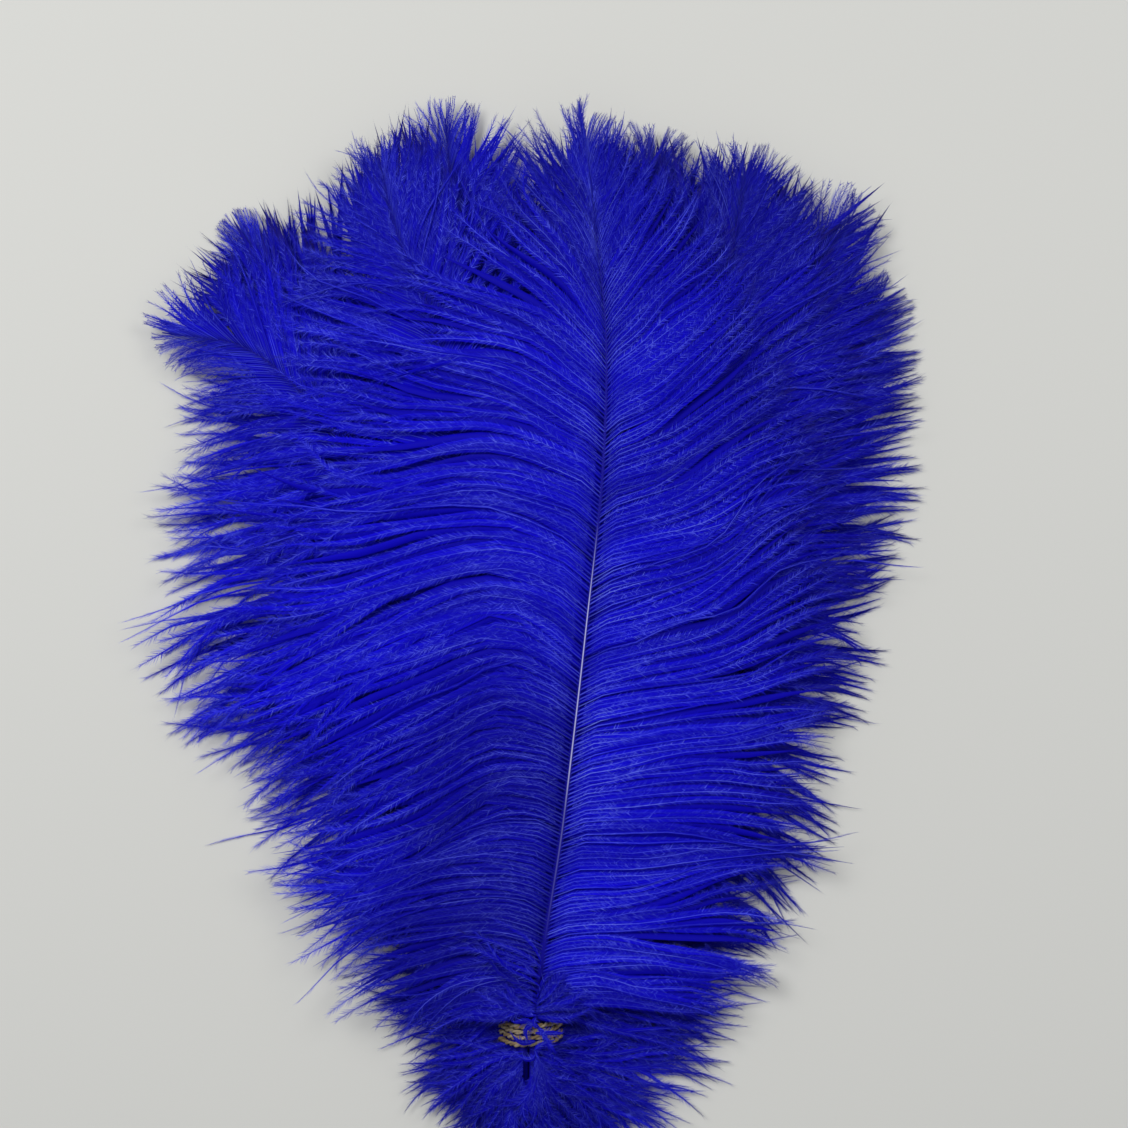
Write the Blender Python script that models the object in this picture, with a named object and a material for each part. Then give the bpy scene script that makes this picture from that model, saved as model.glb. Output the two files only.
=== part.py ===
"""A bunch of nine dyed ostrich plumes, tied round the quills with twine and lying flat.

Units are metres and +Z is up. The bunch is worked out in a frame of its own, with the middle of
the tie at (0, 0), the quills' cut ends towards -Y, the tips towards +Y, and the surface that it
lies on at z = 0. An empty then centres it, so that the origin is the middle of its footprint.

Each plume is one closed solid: a quill that runs on as the shaft, and a vane on either side whose
edge is cut into pointed locks. A lock follows the way the flues grow: they leave the shaft
forward, bend outward and sink at their ends. Every plume keeps to a layer of its own in the pile.
"""

from math import atan2, cos, exp, pi, sin

import bpy
import numpy as np

# ---- Driving dimensions ----------------------------------------------------------------------

QUILL_END = -0.056          # cut ends of the quills, along Y from the tie
QUILL_RADIUS = 0.0019       # quill at the tie
ROOT_RADIUS = 0.00125       # shaft where the vane begins
TIP_RADIUS = 0.00022        # shaft at its tip
QUILL_SINK = 0.0016         # how far the quills come down from the tie to their cut ends

VANE_HALF = 0.0004          # half the thickness of a vane beside its shaft
VANE_HALF_OUT = 0.0003      # and halfway out; the edge is sharp
FLOOR_HALF = 0.0004         # the lowest vane lies flat on the surface

TIE_HALF = 0.0048           # half the length of quill under the twine, with a margin
SPREAD_END = 0.028          # past the tie, the shafts have reached their layers here
ROOT_BEND = 0.009           # a flue bends from its root angle to its open angle over this run
FALL_RUN = 0.006            # a vane falls from its shaft to its layer over this run
VANE_FOOT = 0.0015          # a vane grows out of the shaft over this run
STUB = 0.0006               # from a stub of this length
STUB_LEAN = 10              # that leans this much further than the flue beside it

LOWEST_LIFT = 0.0008        # room over the lowest plume, whose shaft stands on the surface
EDGE_PITCH = 0.00135        # layer to layer at the rim of the bunch
COURSE_STEPS = 400          # points on a shaft's course
QUILL_HOLD = 0.15           # share of the quill, next to the tie, that holds its course straight

TWINE_RADIUS = 0.00075
TWINE_TURNS = 4
TWINE_PITCH = 0.00185
TWINE_STEPS = 18            # points in a turn
TWINE_CLEAR = 0.0006        # twine to quill

LOCK_NOTCH = 0.80           # a notch between two locks, as a share of the flue's length
LOCK_VARY = 0.06            # locks differ in length by this share
LOCK_RISE = 0.10            # and stand over their notches by this share of the layer pitch
SKIRT_END = -0.020          # the tuft behind the tie begins here
SKIRT_FLUE = (0.026, 0.046) # its flues, from there to the tie
SKIRT_ANGLE = (158, 98)     # and how far they lean back from the shaft's direction
SKIRT_BEND = (25, 8)        # the hindmost bends by so much near its root and at its end


def ramp(*pairs):
    """A piecewise linear function through (x, y) pairs."""
    xs, ys = zip(*pairs)
    return lambda x: float(np.interp(x, xs, ys))


# Shares of the way up the vane, 0 at its foot and 1 at the tip.
FLUE_SHARE = ramp((0, 0.50), (0.06, 0.66), (0.15, 0.82), (0.3, 0.97), (0.45, 1.0),
                  (0.6, 0.94), (0.74, 0.80), (0.86, 0.56), (0.94, 0.34), (1, 0.10))
ROOT_ANGLE = ramp((0, 60), (0.3, 40), (0.7, 32), (1, 12))
OPEN_ANGLE = (ramp((0, 108), (0.12, 96), (0.25, 84), (0.45, 78), (0.62, 66), (0.78, 48),
                   (0.86, 36), (0.94, 22), (1, 10)),
              ramp((0, 108), (0.12, 92), (0.25, 80), (0.45, 68), (0.62, 55), (0.78, 42),
                   (0.86, 34), (0.94, 21), (1, 10)))
SINK_ANGLE = (ramp((0, 18), (0.15, 30), (0.3, 38), (0.5, 28), (0.7, 18), (0.85, 8), (1, 0)),
              ramp((0, 15), (0.15, 8), (0.3, 2), (0.5, -2), (0.7, -4), (0.85, -4), (1, 0)))

# The pile of plumes, by the distance past the tie.
MIDDLE_PITCH = ramp((-0.03, 0.0016), (0, 0.0018), (0.03, 0.0027), (0.1, 0.0049), (0.18, 0.0053),
                    (0.25, 0.0036), (0.3, 0.0017))
HALF_WIDTH = ramp((-0.03, 0.040), (0, 0.052), (0.06, 0.088), (0.12, 0.108), (0.2, 0.118),
                  (0.26, 0.104), (0.3, 0.080))
MIDDLE_X = ramp((0, 0.0), (0.15, 0.002), (0.3, 0.004))


class Plume:
    """One plume: its place in the tie, the course of its shaft and the reach of its flues.

    The pairs are for the left and the right vane. course is the shaft's plan, from the cut end
    to the tip, start is where each vane begins past the tie, flue its longest flue, turn opens
    all its flues further, sink scales how far they bend down at their ends, fan opens the
    lowest flues backwards, foot lengthens them, and trim shortens the upper ones. skirt is a
    side (0 left, 1 right) with a tuft behind the tie, and settle one whose edge lies on the
    surface.
    """

    def __init__(self, name, layer, slot, course, start, flue, stations, turn=(0, 0),
                 sink=(0.6, 1.0), fan=(0, 0), foot=(0, 0), trim=(0, 0), skirt=None,
                 settle=None, dye=(0.012, 0.011, 0.40)):
        self.name = name
        self.layer = layer
        self.slot = slot
        self.start = start
        self.flue = flue
        self.stations = stations
        self.turn = turn
        self.sink = sink
        self.fan = fan
        self.foot = foot
        self.trim = trim
        self.skirt = skirt
        self.settle = settle
        self.dye = dye
        self.course, self.length = smooth_course(course)
        self.runs = np.linspace(0, self.length, COURSE_STEPS)

    def run_at(self, y):
        """Distance along the shaft where its course first passes y."""
        return float(np.interp(y, self.course[:, 1], self.runs))

    def plan(self, run):
        """The shaft's place in plan at a distance along it."""
        return np.array([np.interp(run, self.runs, self.course[:, 0]),
                         np.interp(run, self.runs, self.course[:, 1])])

    def heading(self, run):
        """The shaft's direction in plan, clockwise from +Y."""
        step = 0.0015
        ahead = self.plan(min(run + step, self.length)) - self.plan(max(run - step, 0))
        return atan2(ahead[0], ahead[1])

    def radius(self, run):
        """The shaft tapers slowly in the quill and evenly along the vane."""
        tie = self.run_at(0.0)
        root = self.run_at(SPREAD_END)
        if run <= root:
            return float(np.interp(run, [tie, root], [QUILL_RADIUS, ROOT_RADIUS]))
        share = (run - root) / (self.length - root)
        return ROOT_RADIUS + (TIP_RADIUS - ROOT_RADIUS) * share ** 0.85

    def height(self, run):
        """Height of the shaft's axis: in its slot at the tie, then up into its layer."""
        x, y = self.plan(run)
        slot = self.slot[1]
        if y <= 0:
            return slot + QUILL_SINK * y / -QUILL_END
        radius = self.radius(run)
        layer = radius if self.layer == 0 else layer_height(self.layer, x, y)
        return slot + (max(layer, radius) - slot) * smooth(y / SPREAD_END)

    def attach(self, run):
        """Height of the middle of a vane where it leaves the shaft."""
        if self.layer == 0:
            return self.height(run) - self.radius(run) + FLOOR_HALF
        return self.height(run) + 0.5 * self.radius(run)


def smooth(share):
    """0 to 1 with level ends."""
    share = min(max(share, 0.0), 1.0)
    return share * share * (3 - 2 * share)


def smooth_course(points):
    """Evenly spaced points on a smooth curve through the given ones, and its length.

    The first stretch, the quill, is straight: a further point on it holds the curve there.
    """
    p = np.array(points, float)
    p = np.vstack([p[:1], p[1] + (p[0] - p[1]) * QUILL_HOLD, p[1:]])
    gaps = np.linalg.norm(np.diff(p, axis=0), axis=1)[:, None]
    slopes = np.diff(p, axis=0) / gaps
    inner = (slopes[:-1] * gaps[1:] + slopes[1:] * gaps[:-1]) / (gaps[:-1] + gaps[1:])
    tangents = np.vstack([slopes[:1], inner, slopes[-1:]])
    t = np.linspace(0, 1, 60, endpoint=False)[:, None]
    pieces = []
    for a, b, at_a, at_b, gap in zip(p, p[1:], tangents, tangents[1:], gaps):
        pieces.append(a * (1 + 2 * t) * (1 - t) ** 2 + b * t ** 2 * (3 - 2 * t)
                      + gap * (at_a * t * (1 - t) ** 2 - at_b * t ** 2 * (1 - t)))
    curve = np.vstack(pieces + [p[-1:]])
    runs = np.concatenate([[0], np.cumsum(np.linalg.norm(np.diff(curve, axis=0), axis=1))])
    even = np.linspace(0, runs[-1], COURSE_STEPS)
    return np.column_stack([np.interp(even, runs, curve[:, k]) for k in (0, 1)]), runs[-1]


def layer_pitch(x, y):
    """Distance from one layer to the next: widest down the middle, least at the rim."""
    across = min(abs(x - MIDDLE_X(y)) / HALF_WIDTH(y), 1.0)
    bell = 0.5 + 0.5 * cos(pi * across)
    return EDGE_PITCH + max(MIDDLE_PITCH(y) - EDGE_PITCH, 0.0) * bell


def layer_height(layer, x, y):
    """Height of the middle of a vane of this layer; layer 0 lies on the surface."""
    if layer == 0:
        return FLOOR_HALF
    return FLOOR_HALF + LOWEST_LIFT + layer * layer_pitch(x, y)


# ---- Flues -----------------------------------------------------------------------------------

def flue_plan(root, heading, side, length, angles, shares):
    """Plan points of a flue at shares of its length.

    angles are its root angle, its open angle and how much further it turns by its end, all
    in degrees away from the shaft's direction. side is -1 for left and 1 for right.
    """
    at_root, opened, turned = angles
    steps = 24
    u = np.linspace(0, 1, steps + 1)
    away = opened + (at_root - opened) * np.exp(-u * length / ROOT_BEND) + turned * u ** 1.3
    way = heading + side * np.radians((away[1:] + away[:-1]) / 2)
    step = length / steps
    xs = root[0] + np.concatenate([[0], np.cumsum(np.sin(way) * step)])
    ys = root[1] + np.concatenate([[0], np.cumsum(np.cos(way) * step)])
    return [np.array([np.interp(s, u, xs), np.interp(s, u, ys)]) for s in shares]


def vane_flue(plume, hand, share):
    """Length and angles of the flue at a share of the way up one vane (hand 0 left, 1 right)."""
    low = min(max(1 - share / 0.12, 0.0), 1.0)
    high = min(max((share - 0.5) / 0.3, 0.0), 1.0)
    length = plume.flue[hand] * FLUE_SHARE(share)
    length *= (1 - plume.trim[hand] * high) * (1 + plume.foot[hand] * low)
    fan = plume.fan[hand] * low ** 1.5
    opened = OPEN_ANGLE[hand](share) + plume.turn[hand] + fan
    return length, (ROOT_ANGLE(share) + fan, opened, SINK_ANGLE[hand](share) * plume.sink[hand])


def vane_height(plume, hand, run, point, out, share_out, rise=0.0):
    """Height of the middle of a vane at a point that is out metres along a flue.

    rise lifts it by that share of the distance to the next layer.
    """
    x, y = plume.plan(run)
    step = plume.attach(run) - layer_height(plume.layer, x, y)
    height = layer_height(plume.layer, *point) + step * exp(-out / FALL_RUN)
    if plume.layer > 0:
        height += rise * layer_pitch(*point)
    if plume.settle == hand or plume.skirt == hand and y < 0:
        height += (FLOOR_HALF - height) * smooth(share_out / 0.9)
    return height


# ---- Sections --------------------------------------------------------------------------------

OUT_SHARES = {"plain": (0.42, 1.0), "full": (0.15, 0.5, 1.0)}


def side_points(plume, hand, run, flue, shares, rise):
    """One side of a section, from the top of the shaft's flank out to the edge and back.

    flue is None where there is no vane: the side is then half of a round section. rise is the
    relief of the locks between the shaft and the edge.
    """
    side = -1 if hand == 0 else 1
    root = plume.plan(run)
    heading = plume.heading(run)
    radius = plume.radius(run)
    axis = plume.height(run)
    flank = np.array([cos(heading), -sin(heading)]) * side
    count = 2 * len(shares) + 1
    if flue is None:
        points = []
        for i in range(1, count + 1):
            angle = pi / 2 - pi * i / (count + 1)
            place = root + flank * radius * cos(angle)
            points.append((place[0], place[1], axis + radius * sin(angle)))
        return points
    length, angles = flue
    attach = plume.attach(run)
    half = min(VANE_HALF, 0.8 * radius)
    start = root + flank * radius * 0.9
    upper = [(start[0], start[1], attach + half)]
    lower = [(start[0], start[1], attach - half)]
    places = flue_plan(root + flank * radius * 0.9, heading, side, length, angles, shares)
    for share, place in zip(shares[:-1], places):
        middle = vane_height(plume, hand, run, place, share * length, share, rise)
        thick = FLOOR_HALF if plume.layer == 0 else VANE_HALF_OUT
        upper.append((place[0], place[1], middle + thick))
        lower.append((place[0], place[1], middle - thick))
    edge = places[-1]
    middle = vane_height(plume, hand, run, edge, length, 1.0)
    if plume.layer == 0:
        middle -= FLOOR_HALF
    return upper + [(edge[0], edge[1], middle)] + lower[::-1]


def section(plume, run, flues, shares, rise=0.0):
    """A closed ring: crown, left side out and back, underside, right side out and back."""
    x, y = plume.plan(run)
    axis = plume.height(run)
    radius = plume.radius(run)
    left = side_points(plume, 0, run, flues[0], shares, rise)
    right = side_points(plume, 1, run, flues[1], shares, rise)
    return [(x, y, axis + radius)] + left + [(x, y, axis - radius)] + right[::-1]


def stub(flue, back):
    """The short flue that a vane grows from: it leans clear of the first or the last one."""
    at_root, opened, turned = flue[1]
    if back:
        angle = max(at_root, opened, opened + turned) + STUB_LEAN
    else:
        angle = min(at_root, opened) - STUB_LEAN
    return STUB, (angle, angle, 0)


def skirt_stations(plume):
    """The tuft behind the tie: flues that lean back further the nearer they are to the end."""
    count = 6
    near = -TIE_HALF - 2 * VANE_FOOT
    rows = []
    for i in range(count):
        share = i / (count - 1)
        run = plume.run_at(SKIRT_END + share * (near - SKIRT_END))
        length = SKIRT_FLUE[0] + (SKIRT_FLUE[1] - SKIRT_FLUE[0]) * share
        if i % 2 == 1:
            length *= LOCK_NOTCH
        opened = SKIRT_ANGLE[0] + (SKIRT_ANGLE[1] - SKIRT_ANGLE[0]) * share
        bend, turned = [angle * (1 - share) for angle in SKIRT_BEND]
        rows.append((run, (length, (opened - bend, opened, turned))))
    first, last = rows[0], rows[-1]
    before = (first[0] - VANE_FOOT, stub(first[1], True))
    after = (last[0] + VANE_FOOT, stub(last[1], False))
    return [before] + rows + [after]


def vane_stations(plume):
    """The runs of the sections along the vanes, with one more at the foot of each vane."""
    starts = [plume.run_at(y) for y in plume.start]
    first = min(starts)
    even = [first + (plume.length - first) * i / plume.stations
            for i in range(plume.stations + 1)]
    later = max(starts)
    if later > first:
        nearest = min(range(len(even)), key=lambda i: abs(even[i] - later))
        even[nearest] = later
        even.insert(nearest, later - VANE_FOOT)
    return [first - VANE_FOOT] + even, starts


def sections(plume):
    """All the sections of a plume, from the cut end of its quill to its tip."""
    shares = OUT_SHARES["full" if plume.name == "front_plume" else "plain"]
    rings = [section(plume, 0.0, (None, None), shares)]
    if plume.skirt is not None:
        for run, flue in skirt_stations(plume):
            flues = (flue, None) if plume.skirt == 0 else (None, flue)
            rings.append(section(plume, run, flues, shares))
    plain = [-TIE_HALF, TIE_HALF]
    if min(plume.start) > SPREAD_END:
        plain.append((TIE_HALF + min(plume.start)) / 2)
    for y in plain:
        rings.append(section(plume, plume.run_at(y), (None, None), shares))
    runs, starts = vane_stations(plume)
    for i, run in enumerate(runs):
        flues = []
        for start, hand in zip(starts, (0, 1)):
            if run < start - 1.5 * VANE_FOOT:
                flues.append(None)
                continue
            share = max(run - start, 0.0) / (plume.length - start)
            length, angles = vane_flue(plume, hand, share)
            length *= 1 + LOCK_VARY * sin(1.9 * i + plume.layer + 2 * hand)
            if i % 2 == 0:
                length *= LOCK_NOTCH
            flue = (length, angles)
            flues.append(stub(flue, True) if run < start else flue)
        rise = (0.0, -LOCK_RISE, LOCK_RISE)[0 if i == 0 else 1 + i % 2]
        rings.append(section(plume, run, flues, shares, rise))
    return rings


# ---- Objects ---------------------------------------------------------------------------------

def material(name, color, roughness):
    """A Principled material with one colour."""
    made = bpy.data.materials.new(name)
    made.use_nodes = True
    shader = made.node_tree.nodes["Principled BSDF"]
    shader.inputs["Base Color"].default_value = (*color, 1.0)
    shader.inputs["Roughness"].default_value = roughness
    shader.inputs["Metallic"].default_value = 0.0
    made.diffuse_color = (*color, 1.0)
    return made


def loft(name, rings, origin):
    """A closed mesh through rings of equal count, with its two ends capped.

    Every panel is parted from its inner point on one ring to its outer point on the next, so
    that the top and the underside of a vane turn alike and can't meet.
    """
    count = len(rings[0])
    points = [tuple(np.subtract(point, origin)) for ring in rings for point in ring]
    faces = [tuple(range(count))]
    for i in range(len(rings) - 1):
        low, high = i * count, (i + 1) * count
        for k in range(count):
            after = (k + 1) % count
            if k * 4 // count % 2 == 0:
                faces.append((low + after, low + k, high + after))
                faces.append((low + k, high + k, high + after))
            else:
                faces.append((low + after, low + k, high + k))
                faces.append((low + after, high + k, high + after))
    faces.append(tuple(range(len(points) - 1, len(points) - count - 1, -1)))
    mesh = bpy.data.meshes.new(name)
    mesh.from_pydata(points, [], faces)
    mesh.validate()
    mesh.update()
    return mesh


def add_plume(plume, collection, parent):
    """The plume's solid, with its origin where the tie holds its quill."""
    origin = (plume.slot[0], 0.0, plume.slot[1])
    thing = bpy.data.objects.new(plume.name, loft(plume.name, sections(plume), origin))
    thing.location = origin
    thing.parent = parent
    thing.data.materials.append(material(plume.name + "_dye", plume.dye, 0.65))
    collection.objects.link(thing)
    return thing


def around_quills(slots, clearance, count):
    """Evenly spaced points on a taut loop round the quills, at a clearance from their axes."""
    angles = np.linspace(0, 2 * pi, 720, endpoint=False)
    out = np.column_stack([np.cos(angles), np.sin(angles)])
    held = np.array(slots)[np.argmax(out @ np.array(slots).T, axis=1)]
    loop = held + clearance * out
    loop = np.vstack([loop, loop[:1]])
    runs = np.concatenate([[0], np.cumsum(np.linalg.norm(np.diff(loop, axis=0), axis=1))])
    even = np.linspace(0, runs[-1], count, endpoint=False)
    return [(float(np.interp(e, runs, loop[:, 0])), float(np.interp(e, runs, loop[:, 1])))
            for e in even]


def add_tie(plumes, collection, parent):
    """The twine: close turns round all the quills, wound as one curve with capped ends."""
    clearance = QUILL_RADIUS + TWINE_CLEAR + TWINE_RADIUS
    loop = around_quills([plume.slot for plume in plumes], clearance, TWINE_STEPS)
    count = TWINE_TURNS * TWINE_STEPS
    curve = bpy.data.curves.new("twine_tie", "CURVE")
    curve.dimensions = "3D"
    curve.bevel_depth = TWINE_RADIUS
    curve.bevel_resolution = 2
    curve.use_fill_caps = True
    line = curve.splines.new("POLY")
    line.points.add(count - 1)
    for i in range(count):
        x, z = loop[i % TWINE_STEPS]
        y = (i / TWINE_STEPS - TWINE_TURNS / 2) * TWINE_PITCH
        line.points[i].co = (x, y, z, 1.0)
    tie = bpy.data.objects.new("twine_tie", curve)
    tie.parent = parent
    curve.materials.append(material("twine", (0.26, 0.16, 0.075), 0.85))
    collection.objects.link(tie)
    return tie


PLUMES = (
    Plume("front_plume", 8, (0.0016, 0.0134),
          ((0.0010, QUILL_END), (0.0016, 0.0), (0.0106, 0.070), (0.0173, 0.127),
           (0.0230, 0.183), (0.0235, 0.225), (0.0205, 0.255), (0.0174, 0.288)),
          start=(0.0075, 0.0075), flue=(0.116, 0.088), stations=46, sink=(1.0, 1.0),
          fan=(0, 6), foot=(-0.20, 0.30), trim=(0.30, 0.15), dye=(0.013, 0.011, 0.42)),
    Plume("inner_left_plume", 7, (-0.0022, 0.0116),
          ((-0.0030, QUILL_END), (-0.0022, 0.0), (-0.0080, 0.070), (-0.0180, 0.150),
           (-0.0346, 0.236), (-0.0424, 0.254), (-0.0492, 0.281)),
          start=(0.032, 0.032), flue=(0.080, 0.070), stations=30, turn=(4, 0),
          trim=(0.12, 0)),
    Plume("inner_right_plume", 6, (0.0, 0.0079),
          ((0.0006, QUILL_END), (0.0, 0.0), (0.0140, 0.070), (0.0360, 0.150),
           (0.0580, 0.225), (0.0670, 0.262), (0.0694, 0.279)),
          start=(0.034, 0.034), flue=(0.070, 0.074), stations=30, turn=(0, -6)),
    Plume("right_plume", 5, (0.0043, 0.0079),
          ((0.0052, QUILL_END), (0.0043, 0.0), (0.0200, 0.060), (0.0460, 0.130),
           (0.0720, 0.195), (0.0860, 0.232), (0.0940, 0.250), (0.1060, 0.264)),
          start=(0.036, 0.036), flue=(0.066, 0.062), stations=30, turn=(0, 4),
          sink=(0.4, 1.0)),
    Plume("left_plume", 4, (-0.0043, 0.0079),
          ((-0.0052, QUILL_END), (-0.0043, 0.0), (-0.0140, 0.060), (-0.0340, 0.125),
           (-0.0660, 0.195), (-0.0790, 0.210), (-0.0920, 0.2195), (-0.1197, 0.225)),
          start=(0.044, 0.044), flue=(0.086, 0.066), stations=30, turn=(4, 0),
          sink=(0.5, 1.0), trim=(0.45, 0)),
    Plume("top_right_plume", 3, (0.00215, 0.0042),
          ((0.0026, QUILL_END), (0.00215, 0.0), (0.0120, 0.080), (0.0240, 0.170),
           (0.0340, 0.240), (0.0410, 0.286)),
          start=(0.040, 0.040), flue=(0.070, 0.070), stations=30, turn=(0, -4)),
    Plume("top_left_plume", 2, (-0.00215, 0.0042),
          ((-0.0026, QUILL_END), (-0.00215, 0.0), (-0.0060, 0.060), (-0.0140, 0.140),
           (-0.0220, 0.240), (-0.0266, 0.276), (-0.0283, 0.296)),
          start=(0.042, 0.042), flue=(0.068, 0.070), stations=30),
    Plume("bottom_right_plume", 1, (0.0064, 0.0042),
          ((0.0078, QUILL_END), (0.0064, 0.0), (0.0220, 0.060), (0.0470, 0.125),
           (0.0740, 0.180), (0.0930, 0.212), (0.1150, 0.238)),
          start=(0.046, 0.0075), flue=(0.062, 0.068), stations=30, turn=(0, 8),
          sink=(0.4, 1.0), fan=(0, -22), foot=(0, 0.45), skirt=1,
          settle=1),
    Plume("bottom_left_plume", 0, (-0.0064, 0.0042),
          ((-0.0078, QUILL_END), (-0.0064, 0.0), (-0.0180, 0.060), (-0.0400, 0.130),
           (-0.0660, 0.200), (-0.0820, 0.240), (-0.0970, 0.262)),
          start=(0.0075, 0.046), flue=(0.083, 0.062), stations=30, turn=(2, 0),
          sink=(0.5, 1.0), foot=(-0.25, 0), trim=(0.32, 0.15), skirt=0),
)


def main():
    for thing in list(bpy.data.objects):
        bpy.data.objects.remove(thing, do_unlink=True)
    collection = bpy.data.collections.new("ostrich_feather_bunch")
    bpy.context.scene.collection.children.link(collection)
    bunch = bpy.data.objects.new("bunch", None)
    collection.objects.link(bunch)
    for plume in PLUMES:
        add_plume(plume, collection, bunch)
    add_tie(PLUMES, collection, bunch)
    points = np.array([point for plume in PLUMES for ring in sections(plume) for point in ring])
    low, high = points.min(axis=0), points.max(axis=0)
    bunch.location = (-(low[0] + high[0]) / 2, -(low[1] + high[1]) / 2, -low[2])
    print("bunch %.1f x %.1f x %.1f mm" % tuple((high - low) * 1000))


main()
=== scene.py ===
# %% [markdown]
# # A bunch of dyed ostrich plumes
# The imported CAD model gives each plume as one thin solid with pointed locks. Here every one of
# those solids is replaced by what a plume really is: a shaft, and on each side of it a row of
# long soft flues, each of which is again a tiny feather with barbules along both its edges.
# The CAD solids say where the plumes lie, so their driving values are repeated below.

from math import cos, pi, radians, sin

import bpy
import numpy as np
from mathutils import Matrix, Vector


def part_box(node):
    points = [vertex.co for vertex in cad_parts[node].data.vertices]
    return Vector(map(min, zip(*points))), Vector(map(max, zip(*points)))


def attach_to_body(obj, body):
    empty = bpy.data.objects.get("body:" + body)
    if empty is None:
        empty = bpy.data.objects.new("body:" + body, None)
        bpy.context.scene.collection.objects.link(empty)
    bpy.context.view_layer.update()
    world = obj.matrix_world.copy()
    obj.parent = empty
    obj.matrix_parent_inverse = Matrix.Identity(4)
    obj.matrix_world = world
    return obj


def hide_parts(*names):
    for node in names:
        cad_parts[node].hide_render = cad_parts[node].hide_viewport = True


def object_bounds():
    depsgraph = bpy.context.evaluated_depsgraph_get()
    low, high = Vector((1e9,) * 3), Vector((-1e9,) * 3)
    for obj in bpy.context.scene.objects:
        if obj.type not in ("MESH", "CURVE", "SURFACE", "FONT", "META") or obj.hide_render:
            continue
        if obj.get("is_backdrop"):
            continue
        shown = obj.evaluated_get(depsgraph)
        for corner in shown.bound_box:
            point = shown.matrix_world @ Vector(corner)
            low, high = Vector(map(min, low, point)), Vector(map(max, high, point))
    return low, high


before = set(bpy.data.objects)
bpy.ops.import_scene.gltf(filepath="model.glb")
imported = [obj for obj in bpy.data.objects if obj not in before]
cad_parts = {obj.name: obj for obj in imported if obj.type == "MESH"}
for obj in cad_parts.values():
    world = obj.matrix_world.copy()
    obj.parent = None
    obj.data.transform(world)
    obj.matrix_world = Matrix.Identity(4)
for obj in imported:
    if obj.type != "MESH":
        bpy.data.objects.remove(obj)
cad_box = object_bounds()
tie_low, tie_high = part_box("twine_tie")
TIE_X, TIE_Y = (tie_low.x + tie_high.x) / 2, (tie_low.y + tie_high.y) / 2
print("the tie is centred on", round(TIE_X, 4), round(TIE_Y, 4))

# %% [markdown]
# ## Camera, floor and light
# The bunch lies on a pale table and is looked at from almost straight above, a little from the
# side of the quills. A long lens at eighty centimetres keeps the perspective mild. The
# light is that of a room: a wide lamp high up at the far left, a weaker one at the far right that
# makes the floor palest there, and an even pale glow from all round that fills the shadows.

# %% Camera
def aim(thing, place, target):
    """Puts a lamp or a camera at a place and points it at a target."""
    thing.location = place
    way = Vector(target) - Vector(place)
    thing.rotation_euler = way.to_track_quat("-Z", "Y").to_euler()


VIEW_CENTRE = (TIE_X + 0.0106, TIE_Y + 0.1494, 0.012)
VIEW_ELEVATION = radians(86)
VIEW_DISTANCE = 0.80
VIEW_WIDTH = 0.361            # what the picture takes in from side to side, at the bunch
NEAREST_SEEN = 0.01
bpy.ops.object.camera_add()
camera = bpy.context.object
camera.name = "view_camera"
aim(camera, (VIEW_CENTRE[0], VIEW_CENTRE[1] - VIEW_DISTANCE * cos(VIEW_ELEVATION),
             VIEW_CENTRE[2] + VIEW_DISTANCE * sin(VIEW_ELEVATION)), VIEW_CENTRE)
camera.data.sensor_fit = "HORIZONTAL"
camera.data.lens = camera.data.sensor_width * VIEW_DISTANCE / VIEW_WIDTH
camera.data.clip_start = NEAREST_SEEN
bpy.context.scene.camera = camera
bpy.context.scene.view_settings.view_transform = "Standard"
bpy.context.scene.view_settings.look = "None"
print("the lens is", round(camera.data.lens), "mm long")

# %% Floor
def principled(name, color, roughness, **inputs):
    """A material with its constants set on the shader's own sockets."""
    made = bpy.data.materials.new(name)
    made.use_nodes = True
    shader = made.node_tree.nodes["Principled BSDF"]
    shader.inputs["Base Color"].default_value = (*color, 1.0)
    shader.inputs["Roughness"].default_value = roughness
    for socket, value in inputs.items():
        shader.inputs[socket.replace("_", " ")].default_value = value
    made.diffuse_color = (*color, 1.0)
    return made


FLOOR_SIZE = 6.0
FLOOR_DROP = 0.0003           # keeps the floor clear of the lowest vane
bpy.ops.mesh.primitive_plane_add(size=FLOOR_SIZE, location=(0, 0, -FLOOR_DROP))
floor = bpy.context.object
floor.name = "floor"
floor.data.materials.append(principled("floor_paint", (0.722, 0.724, 0.696), 0.6))
floor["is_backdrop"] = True

# %% Light
def soft_lamp(name, place, target, size, power, color):
    """A square area lamp, wide enough for soft shadows."""
    bpy.ops.object.light_add(type="AREA")
    lamp = bpy.context.object
    lamp.name = name
    lamp.data.size = size
    lamp.data.energy = power
    lamp.data.color = color
    aim(lamp, place, target)
    print(name, "gives", power, "W")


ROOM_GLOW, ROOM_GLOW_STRENGTH = (0.93, 0.95, 1.0, 1), 0.285
soft_lamp("room_light", (-0.60, 0.48, 1.35), (0, 0, 0), 0.60, 11.9, (1.0, 0.995, 0.97))
soft_lamp("far_light", (0.95, 0.45, 1.2), (0.1, 0.02, 0), 0.7, 6.2, (1.0, 0.99, 0.96))
world = bpy.data.worlds.new("room")
world.use_nodes = True
world.node_tree.nodes["Background"].inputs["Color"].default_value = ROOM_GLOW
world.node_tree.nodes["Background"].inputs["Strength"].default_value = ROOM_GLOW_STRENGTH
bpy.context.scene.world = world

# %% [markdown]
# ## The plan of a plume
# A plume is known by the course of its shaft in plan, by the layer of the pile that it lies in,
# and by how its flues grow: they leave the shaft forward, bend outward and sink at their ends.
# These are the same values and rules that shape the CAD solids, so the soft flues grow where
# the solid vanes lie.

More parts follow.
